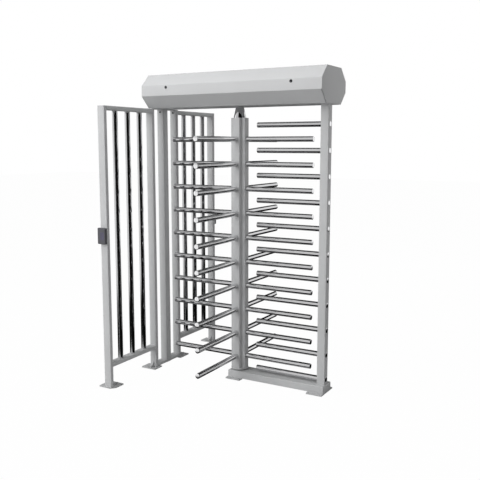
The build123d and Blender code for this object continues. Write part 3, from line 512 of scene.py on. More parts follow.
def circuit_board(name, colour):
    """Solder mask over a net of tracks and pads."""
    f = Finish(name)
    tracks = f.add(
        "ShaderNodeTexVoronoi",
        {"feature": "DISTANCE_TO_EDGE", "distance": "EUCLIDEAN"},
        {"Vector": f.place(), "Scale": 160.0, "Randomness": 0.35},
    )
    pads = f.add(
        "ShaderNodeTexVoronoi", {"feature": "F1"}, {"Vector": f.place(), "Scale": 260.0, "Randomness": 0.1}
    )
    track = f.span(tracks, 0.03, 0.05, 1.0, 0.0)
    pad = f.span(pads, 0.13, 0.16, 1.0, 0.0)
    tone = f.blend(track * 0.6, shade(colour, 0.8), shade(colour, 1.7))
    tone = f.blend(pad, tone, (0.62, 0.60, 0.55))
    return f.surface(
        Base_Color=tone,
        Metallic=pad * 0.8,
        Roughness=0.32 - 0.06 * track,
        Normal=f.bump(track + pad, 0.00004, 0.6),
    )


def weld_bead(name, colour):
    """Painted weld metal, rippled where the bead was laid."""
    f = Finish(name)
    ripple = f.noise(0.0035, detail=3.0)
    return f.surface(
        Base_Color=f.blend(f.span(ripple, 0.3, 0.7), shade(colour, 0.86), colour),
        Roughness=0.42 + 0.12 * ripple,
        Normal=f.bump(ripple, 0.0006, 0.8),
    )


FINISHES = {}


def finish(name):
    """A finish by its name, made once."""
    colours = bpy.context.scene.turnstile_colours
    paint, steel = tuple(colours.paint), tuple(colours.steel)
    makers = {
        "painted steel": lambda n: powder_coat(n, paint),
        "painted foot": lambda n: powder_coat(n, shade(paint, 0.97), 0.35),
        "painted weld": lambda n: weld_bead(n, shade(paint, 0.96)),
        "steel along X": lambda n: drawn_steel(n, steel, (1, 0, 0)),
        "steel along Y": lambda n: drawn_steel(n, steel, (0, 1, 0)),
        "steel along Z": lambda n: drawn_steel(n, steel, (0, 0, 1)),
        # Cap steel is the tube steel lightened 1.3 times: a painted highlight standing in for the bright
        # reflections on the cap faces.
        "bright cap": lambda n: mirror_steel(n, shade(steel, 1.3)),
        "zinc": lambda n: zinc_plate(n, (0.60, 0.61, 0.62)),
        "bearing": lambda n: mirror_steel(n, (0.58, 0.58, 0.60), 0.2),
        "black fastener": lambda n: mirror_steel(n, (0.035, 0.035, 0.038), 0.38),
        "lock nickel": lambda n: mirror_steel(n, (0.09, 0.09, 0.095), 0.25),
        "reader shell": lambda n: moulded_plastic(n, tuple(colours.reader)),
        "reader window": lambda n: gloss_window(n, tuple(colours.window)),
        "black plastic": lambda n: moulded_plastic(n, (0.025, 0.025, 0.027), 0.5),
        "aluminium": lambda n: drawn_steel(n, (0.66, 0.67, 0.68), (1, 0, 0), 0.32),
        "board": lambda n: circuit_board(n, (0.015, 0.11, 0.045)),
        "connector": lambda n: moulded_plastic(n, (0.02, 0.22, 0.10), 0.4),
        "chip": lambda n: moulded_plastic(n, (0.012, 0.012, 0.013), 0.55),
        "copper": lambda n: drawn_steel(n, (0.55, 0.25, 0.12), (1, 0, 0), 0.3),
    }
    if name not in FINISHES:
        FINISHES[name] = makers[name](name.replace(" ", "_"))
    return FINISHES[name]


def dress(name, *nodes):
    """Gives CAD nodes a finish; their shape stays."""
    for node in nodes:
        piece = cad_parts[node]
        piece.data.materials.clear()
        piece.data.materials.append(finish(name))


# ---- sizes and colours


class TurnstileSizes(bpy.types.PropertyGroup):
    """Small shapes that the source leaves square."""

    corner: FloatProperty(
        name="Tube corner", description="Corner radius of square tubes", default=0.0045, unit="LENGTH"
    )
    bend: FloatProperty(
        name="Sheet bend", description="Radius of the header's folded edges", default=0.004, unit="LENGTH"
    )
    bead: FloatProperty(
        name="Weld bead", description="Half width of a weld bead", default=0.0022, unit="LENGTH"
    )
    dome: FloatProperty(
        name="Cap dome", description="Rise of a tube cap's face", default=0.0012, unit="LENGTH"
    )
    sides: IntProperty(name="Tube sides", description="Flat sides of a round tube", default=56, min=12)


class TurnstileColours(bpy.types.PropertyGroup):
    """Colours of the finishes."""

    paint: FloatVectorProperty(
        name="Paint", description="Powder coat", default=(0.50, 0.505, 0.51), subtype="COLOR", size=3
    )
    steel: FloatVectorProperty(
        name="Steel", description="Polished steel", default=(0.72, 0.72, 0.73), subtype="COLOR", size=3
    )
    reader: FloatVectorProperty(
        name="Reader", description="Reader shell", default=(0.085, 0.085, 0.095), subtype="COLOR", size=3
    )
    window: FloatVectorProperty(
        name="Window", description="Reader window", default=(0.085, 0.080, 0.125), subtype="COLOR", size=3
    )


def sizes():
    return bpy.context.scene.turnstile_sizes


class PieceOperator(bpy.types.Operator):
    """Makes a group of pieces."""

    bl_idname = "turnstile.piece"
    bl_label = "Piece"
    bl_options = {"REGISTER", "UNDO"}

    def execute(self, context):
        self.make()
        return {"FINISHED"}


# ---- posts and fence


class TURNSTILE_OT_posts(PieceOperator):
    """Square posts with rounded corners"""

    bl_idname = "turnstile.posts"
    bl_label = "Posts"

    def make(self):
        radius = sizes().corner
        for node in ("comb_post", "main_post"):
            painted(square_tube(node + "_tube", *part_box(node), Z, radius), "frame", node)
        for node in ("inner_posts", "end_posts"):
            name = node[:-1] + "_tubes"
            low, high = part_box(node)
            near = square_tube(name, low, (high.x, low.y + FENCE_DEPTH, high.z), Z, radius, FENCE_WALL)
            painted(pair_across(name, near, high.y - low.y - FENCE_DEPTH), "frame", node)
        self.caps()
        self.screws()

    def caps(self):
        """Moulded caps on the two end posts."""
        low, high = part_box("post_caps")
        cap = block("post_cap", low, (high.x, low.y + FENCE_DEPTH, high.z))
        round_edges(cap, 0.004, along(Z))
        soften(cap, Z, 0.0012, 3)
        painted(pair_across("post_cap_pair", cap, high.y - low.y - FENCE_DEPTH), "frame", "post_caps")

    def screws(self):
        """Button-head screws with a hexagon socket."""
        low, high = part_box("post_screws")
        level = (low.z + high.z) / 2
        head = rod("screw_head", (0, 0, 0), (0, 0, 0.0035), 0.007, 32)
        soften(head, Z, 0.0024, 5)
        socket = rod("screw_socket", (0, 0, 0.002), (0, 0, 0.0037), 0.0026, 6)
        hollow(socket, facing(Z), 0.0005, 0.0012)
        shank = rod("screw_shank", (0, 0, -0.010), (0, 0, 0.0002), 0.003, 20)
        whole = joined("post_screw", [head, socket, shank])
        post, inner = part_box("main_post")[1].y, INNER_FACE - FENCE_DEPTH
        places = []
        for y, way in ((-post, -1), (post, 1), (inner, -1), (-inner, 1)):
            turn = Matrix.Rotation(-way * pi / 2, 4, "X")
            places.append(Matrix.Translation((WALL.x, y, level)) @ turn)
        screws = repeated("post_screw_set", whole, places)
        finished(screws, "black fastener", "frame", ["post_screws"])


class TURNSTILE_OT_fence(PieceOperator):
    """Rails, sills and upright bars of the guide wall"""

    bl_idname = "turnstile.fence"
    bl_label = "Guide fence"

    def make(self):
        radius = sizes().corner
        for node in ("top_rails", "bottom_rails", "side_sills"):
            name = node[:-1] + "_tubes"
            low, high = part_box(node)
            sill = INNER_FACE - FENCE_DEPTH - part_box("main_post")[1].y
            reach = sill if node == "side_sills" else PANEL
            near = square_tube(name, low, (high.x, low.y + reach, high.z), Y, radius, FENCE_WALL)
            painted(pair_across(name, near, high.y - low.y - reach), "frame", node)
        self.bars()

    def bars(self):
        """Upright bars with a weld bead at both ends."""
        low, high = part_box("guide_bars")
        radius = (high.x - low.x) / 2
        bar = rod("guide_bar", (WALL.x, 0, low.z), (WALL.x, 0, high.z), radius, sizes().sides)
        round_edges(bar, 0.0006, lambda mid, way: abs(way.z) < 1e-6, 2)
        gap = (PANEL - GUIDE_COUNT * 2 * radius) / (GUIDE_COUNT + 1)
        outer = high.y - radius
        pitch = gap + 2 * radius
        ys = [side * (outer - step * pitch) for side in (-1, 1) for step in range(GUIDE_COUNT)]
        shifts = [Matrix.Translation((0, y, 0)) for y in ys]
        bars = repeated("guide_bar_set", bar, shifts)
        finished(bars, "steel along Z", "frame", ["guide_bars"])
        bead = sizes().bead
        beads = [
            ring("guide_bead", (WALL.x, 0, z + way * bead * 0.3), Z, radius + bead * 0.3, bead)
            for z, way in ((low.z, 1), (high.z, -1))
        ]
        pair = joined("guide_bead", beads)
        beads = repeated("guide_bar_beads", pair, shifts)
        welded(beads, "frame")


# ---- feet


class TURNSTILE_OT_feet(PieceOperator):
    """Floor beam, foot plates and gussets"""

    bl_idname = "turnstile.feet"
    bl_label = "Feet"

    def make(self):
        low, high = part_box("base_beam")
        beam = block("floor_beam", low, high)
        upright = along(Z)
        round_edges(beam, 0.006, lambda mid, way: abs(mid.z - high.z) < 1e-5 or upright(mid, way), 5)
        hollow(beam, facing(-Z), 0.003, high.z - low.z - 0.003)
        painted(beam, "frame", "base_beam")
        dress("painted foot", "base_foot_plates", "foot_plates")
        dress("painted steel", "foot_gussets")
        self.gusset_beads()
        self.post_beads()

    def gusset_beads(self):
        """Fillet welds along both sides of each gusset's foot."""
        beads = []
        low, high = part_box("foot_gussets")
        floor = low.z
        spans = (
            (-OUTER_FACE, -OUTER_FACE + LONG_GUSSET),
            (-INNER_FACE - SHORT_GUSSET, -INNER_FACE),
            (INNER_FACE, INNER_FACE + LONG_GUSSET),
            (OUTER_FACE - SHORT_GUSSET, OUTER_FACE),
        )
        for start, end in spans:
            for side in (low.x, high.x):
                beads.append(rod("gusset_bead", (side, start, floor), (side, end, floor), sizes().bead, 10))
        whole = joined("gusset_beads", beads)
        welded(whole, "frame")

    def post_beads(self):
        """A weld around the foot of each post."""
        beads = []
        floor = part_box("foot_plates")[1].z
        half = FENCE_DEPTH / 2
        for y in (-OUTER_FACE - half, -INNER_FACE + half, INNER_FACE - half, OUTER_FACE + half):
            beads += self.square_bead(WALL.x, y, POST_HALF, half, floor)
        beads += self.square_bead(COMB.x, 0, POST_HALF, POST_HALF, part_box("base_beam")[1].z)
        whole = joined("post_foot_beads", beads)
        welded(whole, "frame")

    def square_bead(self, x, y, half_x, half_y, z):
        """Four straight beads around a rectangular foot."""
        corners = [(x + a * half_x, y + b * half_y, z) for a, b in ((-1, -1), (1, -1), (1, 1), (-1, 1))]
        return [rod("post_bead", corners[i], corners[(i + 1) % 4], sizes().bead, 10) for i in range(4)]


# ---- bars


def tube(name, start, end, radius):
    """A round tube with open ends."""
    piece = rod(name, start, end, radius, sizes().sides)
    way = (Vector(end) - Vector(start)).normalized()
    for side in (way, -way):
        hollow(piece, facing(side), 0.0015, 0.010)
    return piece


def cap(name, radius):
    """A pressed tube cap that looks along +Z: a domed face and a short skirt."""
    piece = rod(name, (0, 0, 0), (0, 0, CAP_FACE), radius, sizes().sides)
    mark(piece, faces=facing(Z))
    dome = sizes().dome
    bpy.ops.transform.translate(value=(0, 0, -dome))
    for share in (0.42, 0.28, 0.18, 0.12):
        bpy.ops.mesh.inset(thickness=radius * 0.16, depth=dome * share)
    done()
    rim = CAP_FACE - dome
    round_edges(piece, 0.0004, lambda mid, way: abs(mid.z - rim) < 1e-6 and mid.length > radius * 0.9, 2)
    return piece


class TURNSTILE_OT_comb(PieceOperator):
    """Fixed comb of round bars"""

    bl_idname = "turnstile.comb"
    bl_label = "Comb bars"

    def make(self):
        start = ROTOR.x + COMB_START
        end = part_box("comb_post")[1].x
        levels = [Matrix.Translation((0, 0, z)) for z in COMB_LEVELS]
        bars = repeated("comb_bar_set", tube("comb_bar", (start, 0, 0), (end, 0, 0), ARM_RADIUS), levels)
        finished(bars, "steel along X", "frame", ["comb_bars"])
        ends = [
            Matrix.Translation((x, 0, 0)) @ Matrix.Rotation(way * pi / 2, 4, "Y")
            for x, way in ((start, -1), (end, 1))
        ]
        caps = repeated("comb_cap_set", cap("comb_cap", ARM_RADIUS), [z @ e for z in levels for e in ends])
        # The comb caps take the lightened cap steel, a painted highlight.
        finished(caps, "bright cap", "frame", ["comb_bar_plugs"])
        bead = sizes().bead
        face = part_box("comb_post")[0].x
        one = ring("comb_bead", (face - bead * 0.2, 0, 0), X, ARM_RADIUS + bead * 0.3, bead)
        beads = repeated("comb_bar_beads", one, levels)
        welded(beads, "frame")


class TURNSTILE_OT_rotor(PieceOperator):
    """Column and four wings of arms"""

    bl_idname = "turnstile.rotor"
    bl_label = "Rotor"

    def make(self):
        quarters = [turned(ROTOR, step * pi / 2) for step in range(4)]
        self.channels(quarters)
        self.arms(quarters)
        self.cone()
        self.foot()
        self.shaft()
        dress("painted steel", "column_core")

    def channels(self, quarters):
        """Folded channels, one for each wing."""
        half = CORE_HALF - FIT_GAP
        low = (ROTOR.x + CORE_HALF + 0.0002, -half, COLUMN_LOW.z)
        high = (ROTOR.x + CHANNEL_REACH, half, COLUMN_HIGH.z)
        channel = block("wing_channel", low, high)
        outer = ROTOR.x + CHANNEL_REACH
        upright = along(Z)
        round_edges(channel, 0.005, lambda mid, way: upright(mid, way) and abs(mid.x - outer) < 1e-5, 5)
        for side in (Z, -Z):
            hollow(channel, facing(side), 0.0025, 0.02)
        whole = repeated("wing_channel_set", channel, quarters)
        painted(whole, "rotor", "wing_channels")

    def arms(self, quarters):
        """Arms, their caps and the beads where they meet the channels."""
        start = ROTOR.x + CHANNEL_REACH - 0.004
        arm = tube("rotor_arm", (start, 0, 0), (ROTOR.x + ARM_END, 0, 0), ARM_RADIUS)
        levels = [Matrix.Translation((0, 0, z)) for z in ARM_LEVELS]
        twin = arm.copy()
        twin.data = arm.data.copy()
        bpy.context.scene.collection.objects.link(twin)
        for piece, pair, axis in ((arm, quarters[0::2], "X"), (twin, quarters[1::2], "Y")):
            whole = repeated(f"rotor_arms_along_{axis}", piece, [z @ q for z in levels for q in pair])
            finished(whole, f"steel along {axis}", "rotor", ["rotor_arms"])
        tip = Matrix.Translation((ROTOR.x + ARM_END, 0, 0)) @ Matrix.Rotation(pi / 2, 4, "Y")
        places = [z @ q @ tip for z in levels for q in quarters]
        caps = repeated("rotor_cap_set", cap("rotor_cap", ARM_RADIUS), places)
        # The arm caps take the lightened cap steel, a painted highlight.
        finished(caps, "bright cap", "rotor", ["arm_plugs"])
        bead = sizes().bead
        face = ROTOR.x + CHANNEL_REACH
        one = ring("arm_bead", (face + bead * 0.2, 0, 0), X, ARM_RADIUS + bead * 0.3, bead)
        beads = repeated("rotor_arm_beads", one, [z @ q for z in levels for q in quarters])
        welded(beads, "rotor")

    def cone(self):
        """Spun cone between the column and the header."""
        low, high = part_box("top_cone")
        bpy.ops.mesh.primitive_cone_add(
            vertices=72,
            radius1=CONE_FOOT,
            radius2=CONE_TOP,
            depth=high.z - low.z,
            location=(ROTOR.x, 0, (low.z + high.z) / 2),
        )
        cone = settle(bpy.context.active_object, "column_cone")
        hollow(cone, facing(Z), 0.003, 0.01)
        round_edges(cone, 0.0012, lambda mid, way: min(abs(mid.z - z) for z in (low.z, high.z)) < 1e-5, 3)
        finished(cone, "steel along Z", "rotor", ["top_cone"])

    def foot(self):
        """Disc and pivot under the column."""
        low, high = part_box("column_foot_pivot")
        disc_low = high.z - DISC_HEIGHT
        disc = rod("foot_disc", (ROTOR.x, 0, disc_low), (ROTOR.x, 0, high.z), DISC_RADIUS, 72)
        round_edges(disc, 0.0015, lambda mid, way: abs(way.z) < 1e-6 and (mid - ROTOR).xy.length > 0.06, 3)
        collar_top = (ROTOR.x, 0, disc_low + 0.001)
        collar = rod("foot_collar", (ROTOR.x, 0, 0.0493), collar_top, COLLAR_RADIUS)
        pivot = rod("foot_pivot", (ROTOR.x, 0, low.z), (ROTOR.x, 0, 0.051), PIVOT_RADIUS)
        round_edges(pivot, 0.001, lambda mid, way: abs(mid.z - low.z) < 1e-5, 2)
        whole = joined("column_foot", [collar, pivot])
        finished(whole, "zinc", "rotor", ["column_foot_pivot"])
        painted(disc, "rotor", "column_foot_pivot")

    def shaft(self):
        """Cross plate on the column and the shaft that enters the header."""
        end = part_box("drive_shaft")[1].z
        half = CORE_HALF - FIT_GAP
        top = COLUMN_HIGH.z
        plates = []
        for reach_x, reach_y in ((CHANNEL_REACH, half), (half, CHANNEL_REACH)):
            low = (ROTOR.x - reach_x, -reach_y, top)
            plate = block("cross_plate", low, (ROTOR.x + reach_x, reach_y, top + CROSS_PLATE))
            round_edges(plate, 0.004, along(Z))
            plates.append(plate)
        cross = joined("column_cross_plate", plates)
        painted(cross, "rotor", "drive_shaft")
        foot = (ROTOR.x, 0, top + CROSS_PLATE)
        shaft = rod("drive_shaft_bar", foot, (ROTOR.x, 0, end), SHAFT_RADIUS)
        round_edges(shaft, 0.0015, lambda mid, way: abs(mid.z - end) < 1e-5, 3)
        flange = rod("drive_flange", foot, (ROTOR.x, 0, top + FLANGE_TOP), FLANGE_RADIUS)
        round_edges(flange, 0.001, lambda mid, way: abs(mid.z - top - FLANGE_TOP) < 1e-5, 2)
        whole = joined("drive_shaft_turned", [shaft, flange])
        finished(whole, "zinc", "rotor", ["drive_shaft"])


# ---- header


class TURNSTILE_OT_header(PieceOperator):
    """Folded header: trough, lid and end plates"""

    bl_idname = "turnstile.header"
    bl_label = "Header"

    def make(self):
        self.shell("header_lid_shell", "header_lid", SEAM_Z + 0.0005, True, "cover")
        self.shell("header_trough_shell", "header_trough", SEAM_Z - 0.0005, False, "frame")
        self.end_plates()
        self.locks()
        self.hinges()

    def prism(self, name, low, high):
        """The header's eight-sided prism."""
        piece = block(name, low, high)
        mark(piece, edges=along(X))
        bpy.ops.mesh.bevel(offset=CHAMFER, segments=1, affect="EDGES")
        done()
        return piece

    def shell(self, name, node, cut, upper, body):
        """One half of the folded shell, with its thickness and its bends."""
        low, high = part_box(node)
        near, far = (low.x, HEADER_LOW.y, HEADER_LOW.z), (high.x, HEADER_HIGH.y, HEADER_HIGH.z)
        piece = self.prism(name, near, far)
        only(piece)
        bpy.ops.object.mode_set(mode="EDIT")
        bpy.ops.mesh.select_all(action="SELECT")
        bpy.ops.mesh.bisect(
            plane_co=(0, 0, cut),
            plane_no=(0, 0, 1),
            clear_inner=upper,
            clear_outer=not upper,
            use_fill=False,
        )
        done()
        mark(piece, faces=lambda centre, normal: abs(normal.x) > 0.99)
        bpy.ops.mesh.delete(type="FACE")
        done()
        bend = sizes().bend
        folds = lambda mid, way: abs(way.normalized().x) > 0.999 and abs(mid.z - cut) > 1e-4
        round_edges(piece, bend, folds, 4)
        thick = piece.modifiers.new("sheet", "SOLIDIFY")
        thick.thickness = SHEET
        thick.offset = -1
        thick.use_even_offset = True
        only(piece)
        bpy.ops.object.modifier_apply(modifier=thick.name)
        if not upper:
            piece = joined(name, [piece, *self.lips(low, high)])
        painted(piece, body, node)

    def lips(self, low, high):
        """Upstands of the trough inside the lid."""
        made = []
        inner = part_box("header_trough")[1].z
        for side in (-1, 1):
            y = side * LIP_Y
            lip = block("trough_lip", (low.x, y - 0.001, SEAM_Z - 0.003), (high.x, y + 0.001, inner))
            round_edges(lip, 0.0008, lambda mid, way: abs(mid.z - inner) < 1e-5 and abs(way.x) > 0.1, 2)
            made.append(lip)
        return made

    def end_plates(self):
        """Flat eight-sided ends of the lid, with a softened rim."""
        plates = []
        for x0, x1 in ((HEADER_LOW.x, HEADER_LOW.x + SHEET), (HEADER_HIGH.x - SHEET, HEADER_HIGH.x)):
            near, far = (x0, HEADER_LOW.y, HEADER_LOW.z), (x1, HEADER_HIGH.y, HEADER_HIGH.z)
            plate = self.prism("end_plate", near, far)
            soften(plate, X if x0 > 0 else -X, 0.0011, 3)
            plates.append(plate)
        whole = joined("lid_end_plate_pair", plates)
        painted(whole, "cover", "lid_end_plates")

    def locks(self):
        """Cam locks: a bezel on the lid and a turning plug with a key slot."""
        barrels = []
        for side in ("left", "right"):
            node = f"{side}_lock_plug"
            low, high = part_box(node)
            x = (low.x + high.x) / 2
            z = high.z - 0.007
            face = HEADER_LOW.y
            bezel = rod("lock_bezel", (x, face, z), (x, face - 0.0015, z), 0.011, 40)
            round_edges(bezel, 0.0009, lambda mid, way, y=face - 0.0015: abs(mid.y - y) < 1e-5, 3)
            barrel = rod("lock_barrel", (x, face + 0.020, z), (x, face, z), 0.0095, 40)
            for piece in (bezel, barrel):
                for way in (Y, -Y):
                    hollow(piece, facing(way), 0.0034, 0.0004)
            barrels += [bezel, barrel]
            self.plug(side, node, x, z, low, high)
        whole = joined("lock_barrel_pair", barrels)
        finished(whole, "lock nickel", "cover", ["lock_barrels"])

    def plug(self, side, node, x, z, low, high):
        """The plug, its key slot and its tongue."""
        core = rod("plug_core", (x, low.y, z), (x, high.y - 0.002, z), 0.006, 40)
        round_edges(core, 0.0005, lambda mid, way: abs(mid.y - low.y) < 1e-5, 2)
        corner = (x - 0.0007, low.y - 0.0001, z - 0.004)
        slot = block("plug_slot", corner, (x + 0.0007, low.y + 0.001, z + 0.004))
        hollow(slot, facing(-Y), 0.0002, 0.0008)
        tongue = block("plug_tongue", (x - 0.007, high.y - 0.003, low.z), (x + 0.007, high.y, high.z))
        round_edges(tongue, 0.004, along(Y), 4)
        whole = joined(f"{side}_lock_plug_turned", [core, slot, tongue])
        finished(whole, "lock nickel", f"{side}_lock", [node])

    def hinges(self):
        """Hinge leaves in paint, and the heads of the screws that hold them."""
        dress("painted steel", "hinge_fixed_leaves", "hinge_moving_leaves")
        dress("zinc", "hinge_pins")
        low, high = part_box("hinge_moving_leaves")
        step = (high.x - low.x - 0.090) / 2
        heads = []
        for hinge in range(3):
            centre = low.x + 0.045 + hinge * step
            for dx in (-0.030, 0.0, 0.030):
                back = (centre + dx, HINGE_SCREW_BACK, HINGE_SCREW_LEVEL)
                face = (centre + dx, HINGE_SCREW_FACE, HINGE_SCREW_LEVEL)
                head = rod("hinge_screw", back, face, 0.0035, 24)
                round_edges(head, 0.0006, lambda mid, way: mid.y > HINGE_SCREW_FACE - 1e-4, 2)
                heads.append(head)
        whole = joined("hinge_screw_set", heads)
        finished(whole, "zinc", "cover")


# ---- card readers


class TURNSTILE_OT_readers(PieceOperator):
    """Card readers on the end posts"""

    bl_idname = "turnstile.readers"
    bl_label = "Card readers"

    def make(self):
        low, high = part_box("reader_bodies")
        centre = middle("reader_windows")
        shells, windows = [], []
        for side in (-1, 1):
            face = high.y if side > 0 else low.y
            back = face - side * READER_DEPTH
            y0, y1 = sorted((face, back))
            shell = block("reader_shell", (low.x, y0, low.z), (high.x, y1, high.z))
            round_edges(shell, 0.006, along(Y), 6)
            soften(shell, Y * side, 0.003, 4)
            mark(shell, faces=facing(Y * side))
            bpy.ops.mesh.inset(thickness=0.0018, depth=0)
            bpy.ops.mesh.inset(thickness=0.0005, depth=-0.0004)
            done()
            shells.append(shell)
            x, z = centre.x, centre.z
            y0, y1 = sorted((face, face - side * 0.0015))
            low_corner = (x - GLASS_HALF_WIDTH, y0, z - GLASS_HALF_HEIGHT)
            glass = block("reader_glass", low_corner, (x + GLASS_HALF_WIDTH, y1, z + GLASS_HALF_HEIGHT))
            round_edges(glass, 0.003, along(Y), 4)
            mark(glass, faces=facing(Y * side))
            bpy.ops.mesh.inset(thickness=0.0008, depth=0.0)
            bpy.ops.transform.translate(value=(0, -side * 0.0001, 0))
            done()
            windows.append(glass)
        shells = joined("reader_shell_pair", shells)
        finished(shells, "reader shell", "frame", ["reader_bodies"])
        windows = joined("reader_window_pair", windows)
        finished(windows, "reader window", "frame", ["reader_windows"])
        dress("painted steel", "reader_back_plates")


# ---- inside the header


class TURNSTILE_OT_inside(PieceOperator):
    """Drive, locks, sensor and electronics inside the header"""

    bl_idname = "turnstile.inside"
    bl_label = "Header inside"

    def make(self):
        dress("painted steel", "head_plates")
        dress("zinc", "header_saddles", "header_bolts", "header_rails", "mechanism_plate")
        dress("zinc", "top_bearing_housing", "housing_screws", "index_plate", "left_pawl", "right_pawl")
        dress("zinc", "pawl_pins", "left_plunger", "right_plunger", "solenoid_brackets")
        dress("zinc", "board_standoffs", "lock_keepers", "bottom_bearing_housing")
        dress("bearing", "top_bearing", "bottom_bearing")
        dress("aluminium", "encoder_disc", "power_supply")
        dress("black plastic", "solenoids", "fork_sensor", "cable_gland")
        dress("board", "control_board")
        self.board_parts()
        self.supply_parts()
        self.coils()

    def board_parts(self):
        """Chips, capacitors and terminal screws on the board."""
        low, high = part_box("control_board")
        top = low.z + 0.0016
        mid_x = (low.x + high.x) / 2
        chips = []
        for dx, dy, w, d, h in (
            (0.035, -0.03, 0.018, 0.012, 0.003),
            (0.035, 0.02, 0.014, 0.014, 0.002),
            (-0.045, -0.03, 0.020, 0.010, 0.003),
            (0.055, 0.0, 0.010, 0.020, 0.004),
        ):
            x = mid_x + dx
            chip = block("board_chip", (x - w / 2, dy - d / 2, top), (x + w / 2, dy + d / 2, top + h))
            round_edges(chip, 0.0005, lambda mid, way: mid.z > top + 0.001, 2)
            chips.append(chip)
        finished(joined("board_chip_set", chips), "chip", "frame")
        cans = []
        for dx, dy in ((-0.045, 0.03), (-0.045, 0.01), (0.015, -0.038), (0.060, 0.038)):
            can = rod("board_can", (mid_x + dx, dy, top), (mid_x + dx, dy, top + 0.012), 0.005, 28)
            round_edges(can, 0.0008, lambda mid, way: mid.z > top + 0.0115, 3)
            cans.append(can)
        finished(joined("board_can_set", cans), "aluminium", "frame")
        screws = []
        for dx in (-0.080, 0.080):
            for step in range(8):
                y = -0.035 + step * 0.010
                x = mid_x + dx
                screw = rod("terminal_screw", (x, y, high.z), (x, y, high.z + 0.0006), 0.0024, 16)
                round_edges(screw, 0.0003, lambda mid, way: mid.z > high.z + 0.0005, 2)
                screws.append(screw)
        finished(joined("terminal_screw_set", screws), "zinc", "frame")

    def supply_parts(self):
        """Thin black pads on the power supply's top: painted shade standing in for the dark of its vent
        slots.
        """
        low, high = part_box("power_supply")
        vent_shades = []
        for step in range(12):
            x = low.x + 0.030 + step * 0.009
            # Each pad is a black block laid on the top face: painted shade where a slot would show dark.
            slot = block("supply_vent_shade", (x, -0.030, high.z), (x + 0.004, 0.030, high.z + 0.0005))
            round_edges(slot, 0.0018, along(Z), 3)
            vent_shades.append(slot)
        finished(joined("supply_vent_shade_set", vent_shades), "chip", "frame")

    def coils(self):
        """Yokes around the locking solenoids."""
        yokes = []
        low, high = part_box("solenoids")
        for x0, x1 in ((low.x, low.x + SOLENOID_LENGTH), (high.x - SOLENOID_LENGTH, high.x)):
            for y in (-0.0185, 0.0180):
                yoke = block("solenoid_yoke", (x0, y, low.z), (x1, y + 0.0005, high.z))
                round_edges(yoke, 0.003, along(Y), 3)
                yokes.append(yoke)
        finished(joined("solenoid_yoke_set", yokes), "zinc", "frame")


# ---- stage


CARD_FADE_TURN, CARD_FADE_RISE = 5, 3
SOFTBOX_SIZE = 4.0
AIM = Vector((0, 0, 1.1))
LENS_MM, SENSOR_MM = 51.34, 36.0
CAMERA_PLACE = (2.5685, -4.430, 1.774)
CAMERA_DROP, CAMERA_BEARING = 7.92, 29.87


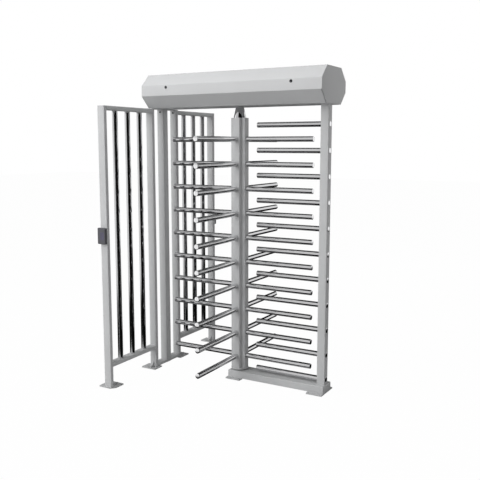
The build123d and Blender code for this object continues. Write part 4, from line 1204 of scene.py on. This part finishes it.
class TURNSTILE_OT_stage(PieceOperator):
    """Pale floor, soft studio light and the camera"""

    bl_idname = "turnstile.stage"
    bl_label = "Stage"

    def make(self):
        bpy.ops.mesh.primitive_plane_add(size=60)
        floor = settle(bpy.context.active_object, "floor")
        floor.data.materials.append(self.floor_finish())
        floor.visible_glossy = False
        self.world()
        self.lights()
        self.camera()
        bpy.context.scene.view_settings.view_transform = "Standard"

    def floor_finish(self):
        """A floor that shows as nearly plain white, with only a trace of shadow."""
        f = Finish("pale floor")
        tone = f.blend(f.noise(1.5), (0.60, 0.60, 0.60), (0.63, 0.63, 0.63))
        matt = f.add("ShaderNodeBsdfDiffuse", {}, {"Color": tone})
        glow = f.add("ShaderNodeEmission", {}, {"Color": (1.0, 1.0, 1.0), "Strength": 1.0})
        seen = f.add("ShaderNodeLightPath", output="Is Camera Ray")
        f.add_output(f.add("ShaderNodeMixShader", {}, {0: seen * 0.985, 1: matt, 2: glow}))
        return f.owner

    def world(self):
        """A white backdrop to the camera, bright cards to metal, and ambient light on matt surfaces."""
        f = Finish("studio", world=True)
        direction = f.add("ShaderNodeTexCoord", output="Generated")
        axes = f.nodes.new("ShaderNodeSeparateXYZ")
        f.links.new(direction.socket, axes.inputs[0])
        x, y, z = (Wire(f, axes.outputs[i]) for i in range(3))
        flat = (x * x + y * y + 1e-6) ** 0.5
        soft = f.add("ShaderNodeLightPath", output="Is Diffuse Ray")
        glow = 0.004 + 0.14 * soft
        for turn, half_turn, low, high, level in self.cards:
            facing_card = (x * cos(radians(turn)) + y * sin(radians(turn))) / flat
            inside = f.span(facing_card, cos(radians(half_turn + CARD_FADE_TURN)), cos(radians(half_turn)))
            above = f.span(z, sin(radians(low - CARD_FADE_RISE)), sin(radians(low + CARD_FADE_RISE)))
            start, end = sin(radians(high - CARD_FADE_RISE)), sin(radians(high + CARD_FADE_RISE))
            below = f.span(z, start, end, 1.0, 0.0)
            glow = glow + level * (inside * above * below)
        room = f.add("ShaderNodeBackground", {}, {"Color": glow, "Strength": 1.0})
        white = f.add("ShaderNodeBackground", {}, {"Color": (1.0, 1.0, 1.0), "Strength": 1.0})
        seen = f.add("ShaderNodeLightPath", output="Is Camera Ray")
        mixed = f.add("ShaderNodeMixShader", {}, {0: seen, 1: room, 2: white})
        output = f.nodes.new("ShaderNodeOutputWorld")
        f.links.new(mixed.socket, output.inputs["Surface"])
        bpy.context.scene.world = f.owner

    # Each card: bearing and half width, lowest and highest elevation, in degrees, and its level.
    cards = (
        (-125, 42, 28, 54, 0.90),
        (-122, 12, -20, 4, 0.88),
        (-128, 34, 4, 28, 0.62),
        (-163, 26, -20, 6, 0.80),
        (-170, 24, 6, 30, 0.60),
        (66, 20, -9, 26, 0.92),
        (180, 180, 72, 95, 0.30),
    )

    def lights(self):
        """A large key from the front left, a fill from the right, one on top and one behind."""
        self.softbox("key", (-2.5, -5.2, 3.3), 172.0)
        self.softbox("fill", (5.0, -2.0, 2.5), 43.0)
        self.softbox("top", (-0.6, -1.5, 6.0), 155.0)
        self.softbox("back", (-1.5, 5.0, 3.5), 70.0)

    def softbox(self, name, place, power):
        lamp = bpy.data.lights.new(name, "AREA")
        lamp.energy = power
        lamp.size = SOFTBOX_SIZE
        holder = bpy.data.objects.new(name, lamp)
        holder.visible_glossy = False
        bpy.context.scene.collection.objects.link(holder)
        holder.location = place
        holder.rotation_euler = (AIM - Vector(place)).to_track_quat("-Z", "Y").to_euler()

    def camera(self):
        lens = bpy.data.cameras.new("camera")
        lens.lens = LENS_MM
        lens.sensor_width = SENSOR_MM
        holder = bpy.data.objects.new("camera", lens)
        bpy.context.scene.collection.objects.link(holder)
        holder.location = CAMERA_PLACE
        holder.rotation_euler = (radians(90 - CAMERA_DROP), 0, radians(CAMERA_BEARING))
        bpy.context.scene.camera = holder


# ---- panel and registration

STEPS = (
    TURNSTILE_OT_posts,
    TURNSTILE_OT_fence,
    TURNSTILE_OT_feet,
    TURNSTILE_OT_comb,
    TURNSTILE_OT_rotor,
    TURNSTILE_OT_header,
    TURNSTILE_OT_readers,
    TURNSTILE_OT_inside,
    TURNSTILE_OT_stage,
)


class TURNSTILE_PT_panel(bpy.types.Panel):
    """Lists the turnstile's pieces"""

    bl_label = "Turnstile"
    bl_idname = "TURNSTILE_PT_panel"
    bl_space_type = "VIEW_3D"
    bl_region_type = "UI"
    bl_category = "Turnstile"

    def draw(self, context):
        for group in (context.scene.turnstile_sizes, context.scene.turnstile_colours):
            for name in group.bl_rna.properties.keys():
                if name not in ("rna_type", "name"):
                    self.layout.prop(group, name)
        for step in STEPS:
            self.layout.operator(step.bl_idname)


CLASSES = (TurnstileSizes, TurnstileColours, *STEPS, TURNSTILE_PT_panel)


def register():
    for item in CLASSES:
        bpy.utils.register_class(item)
    bpy.types.Scene.turnstile_sizes = PointerProperty(type=TurnstileSizes)
    bpy.types.Scene.turnstile_colours = PointerProperty(type=TurnstileColours)


def unregister():
    del bpy.types.Scene.turnstile_sizes
    del bpy.types.Scene.turnstile_colours
    for item in reversed(CLASSES):
        bpy.utils.unregister_class(item)


def main():
    register()
    for step in STEPS:
        group, name = step.bl_idname.split(".")
        getattr(getattr(bpy.ops, group), name)()


if __name__ == "__main__":
    main()
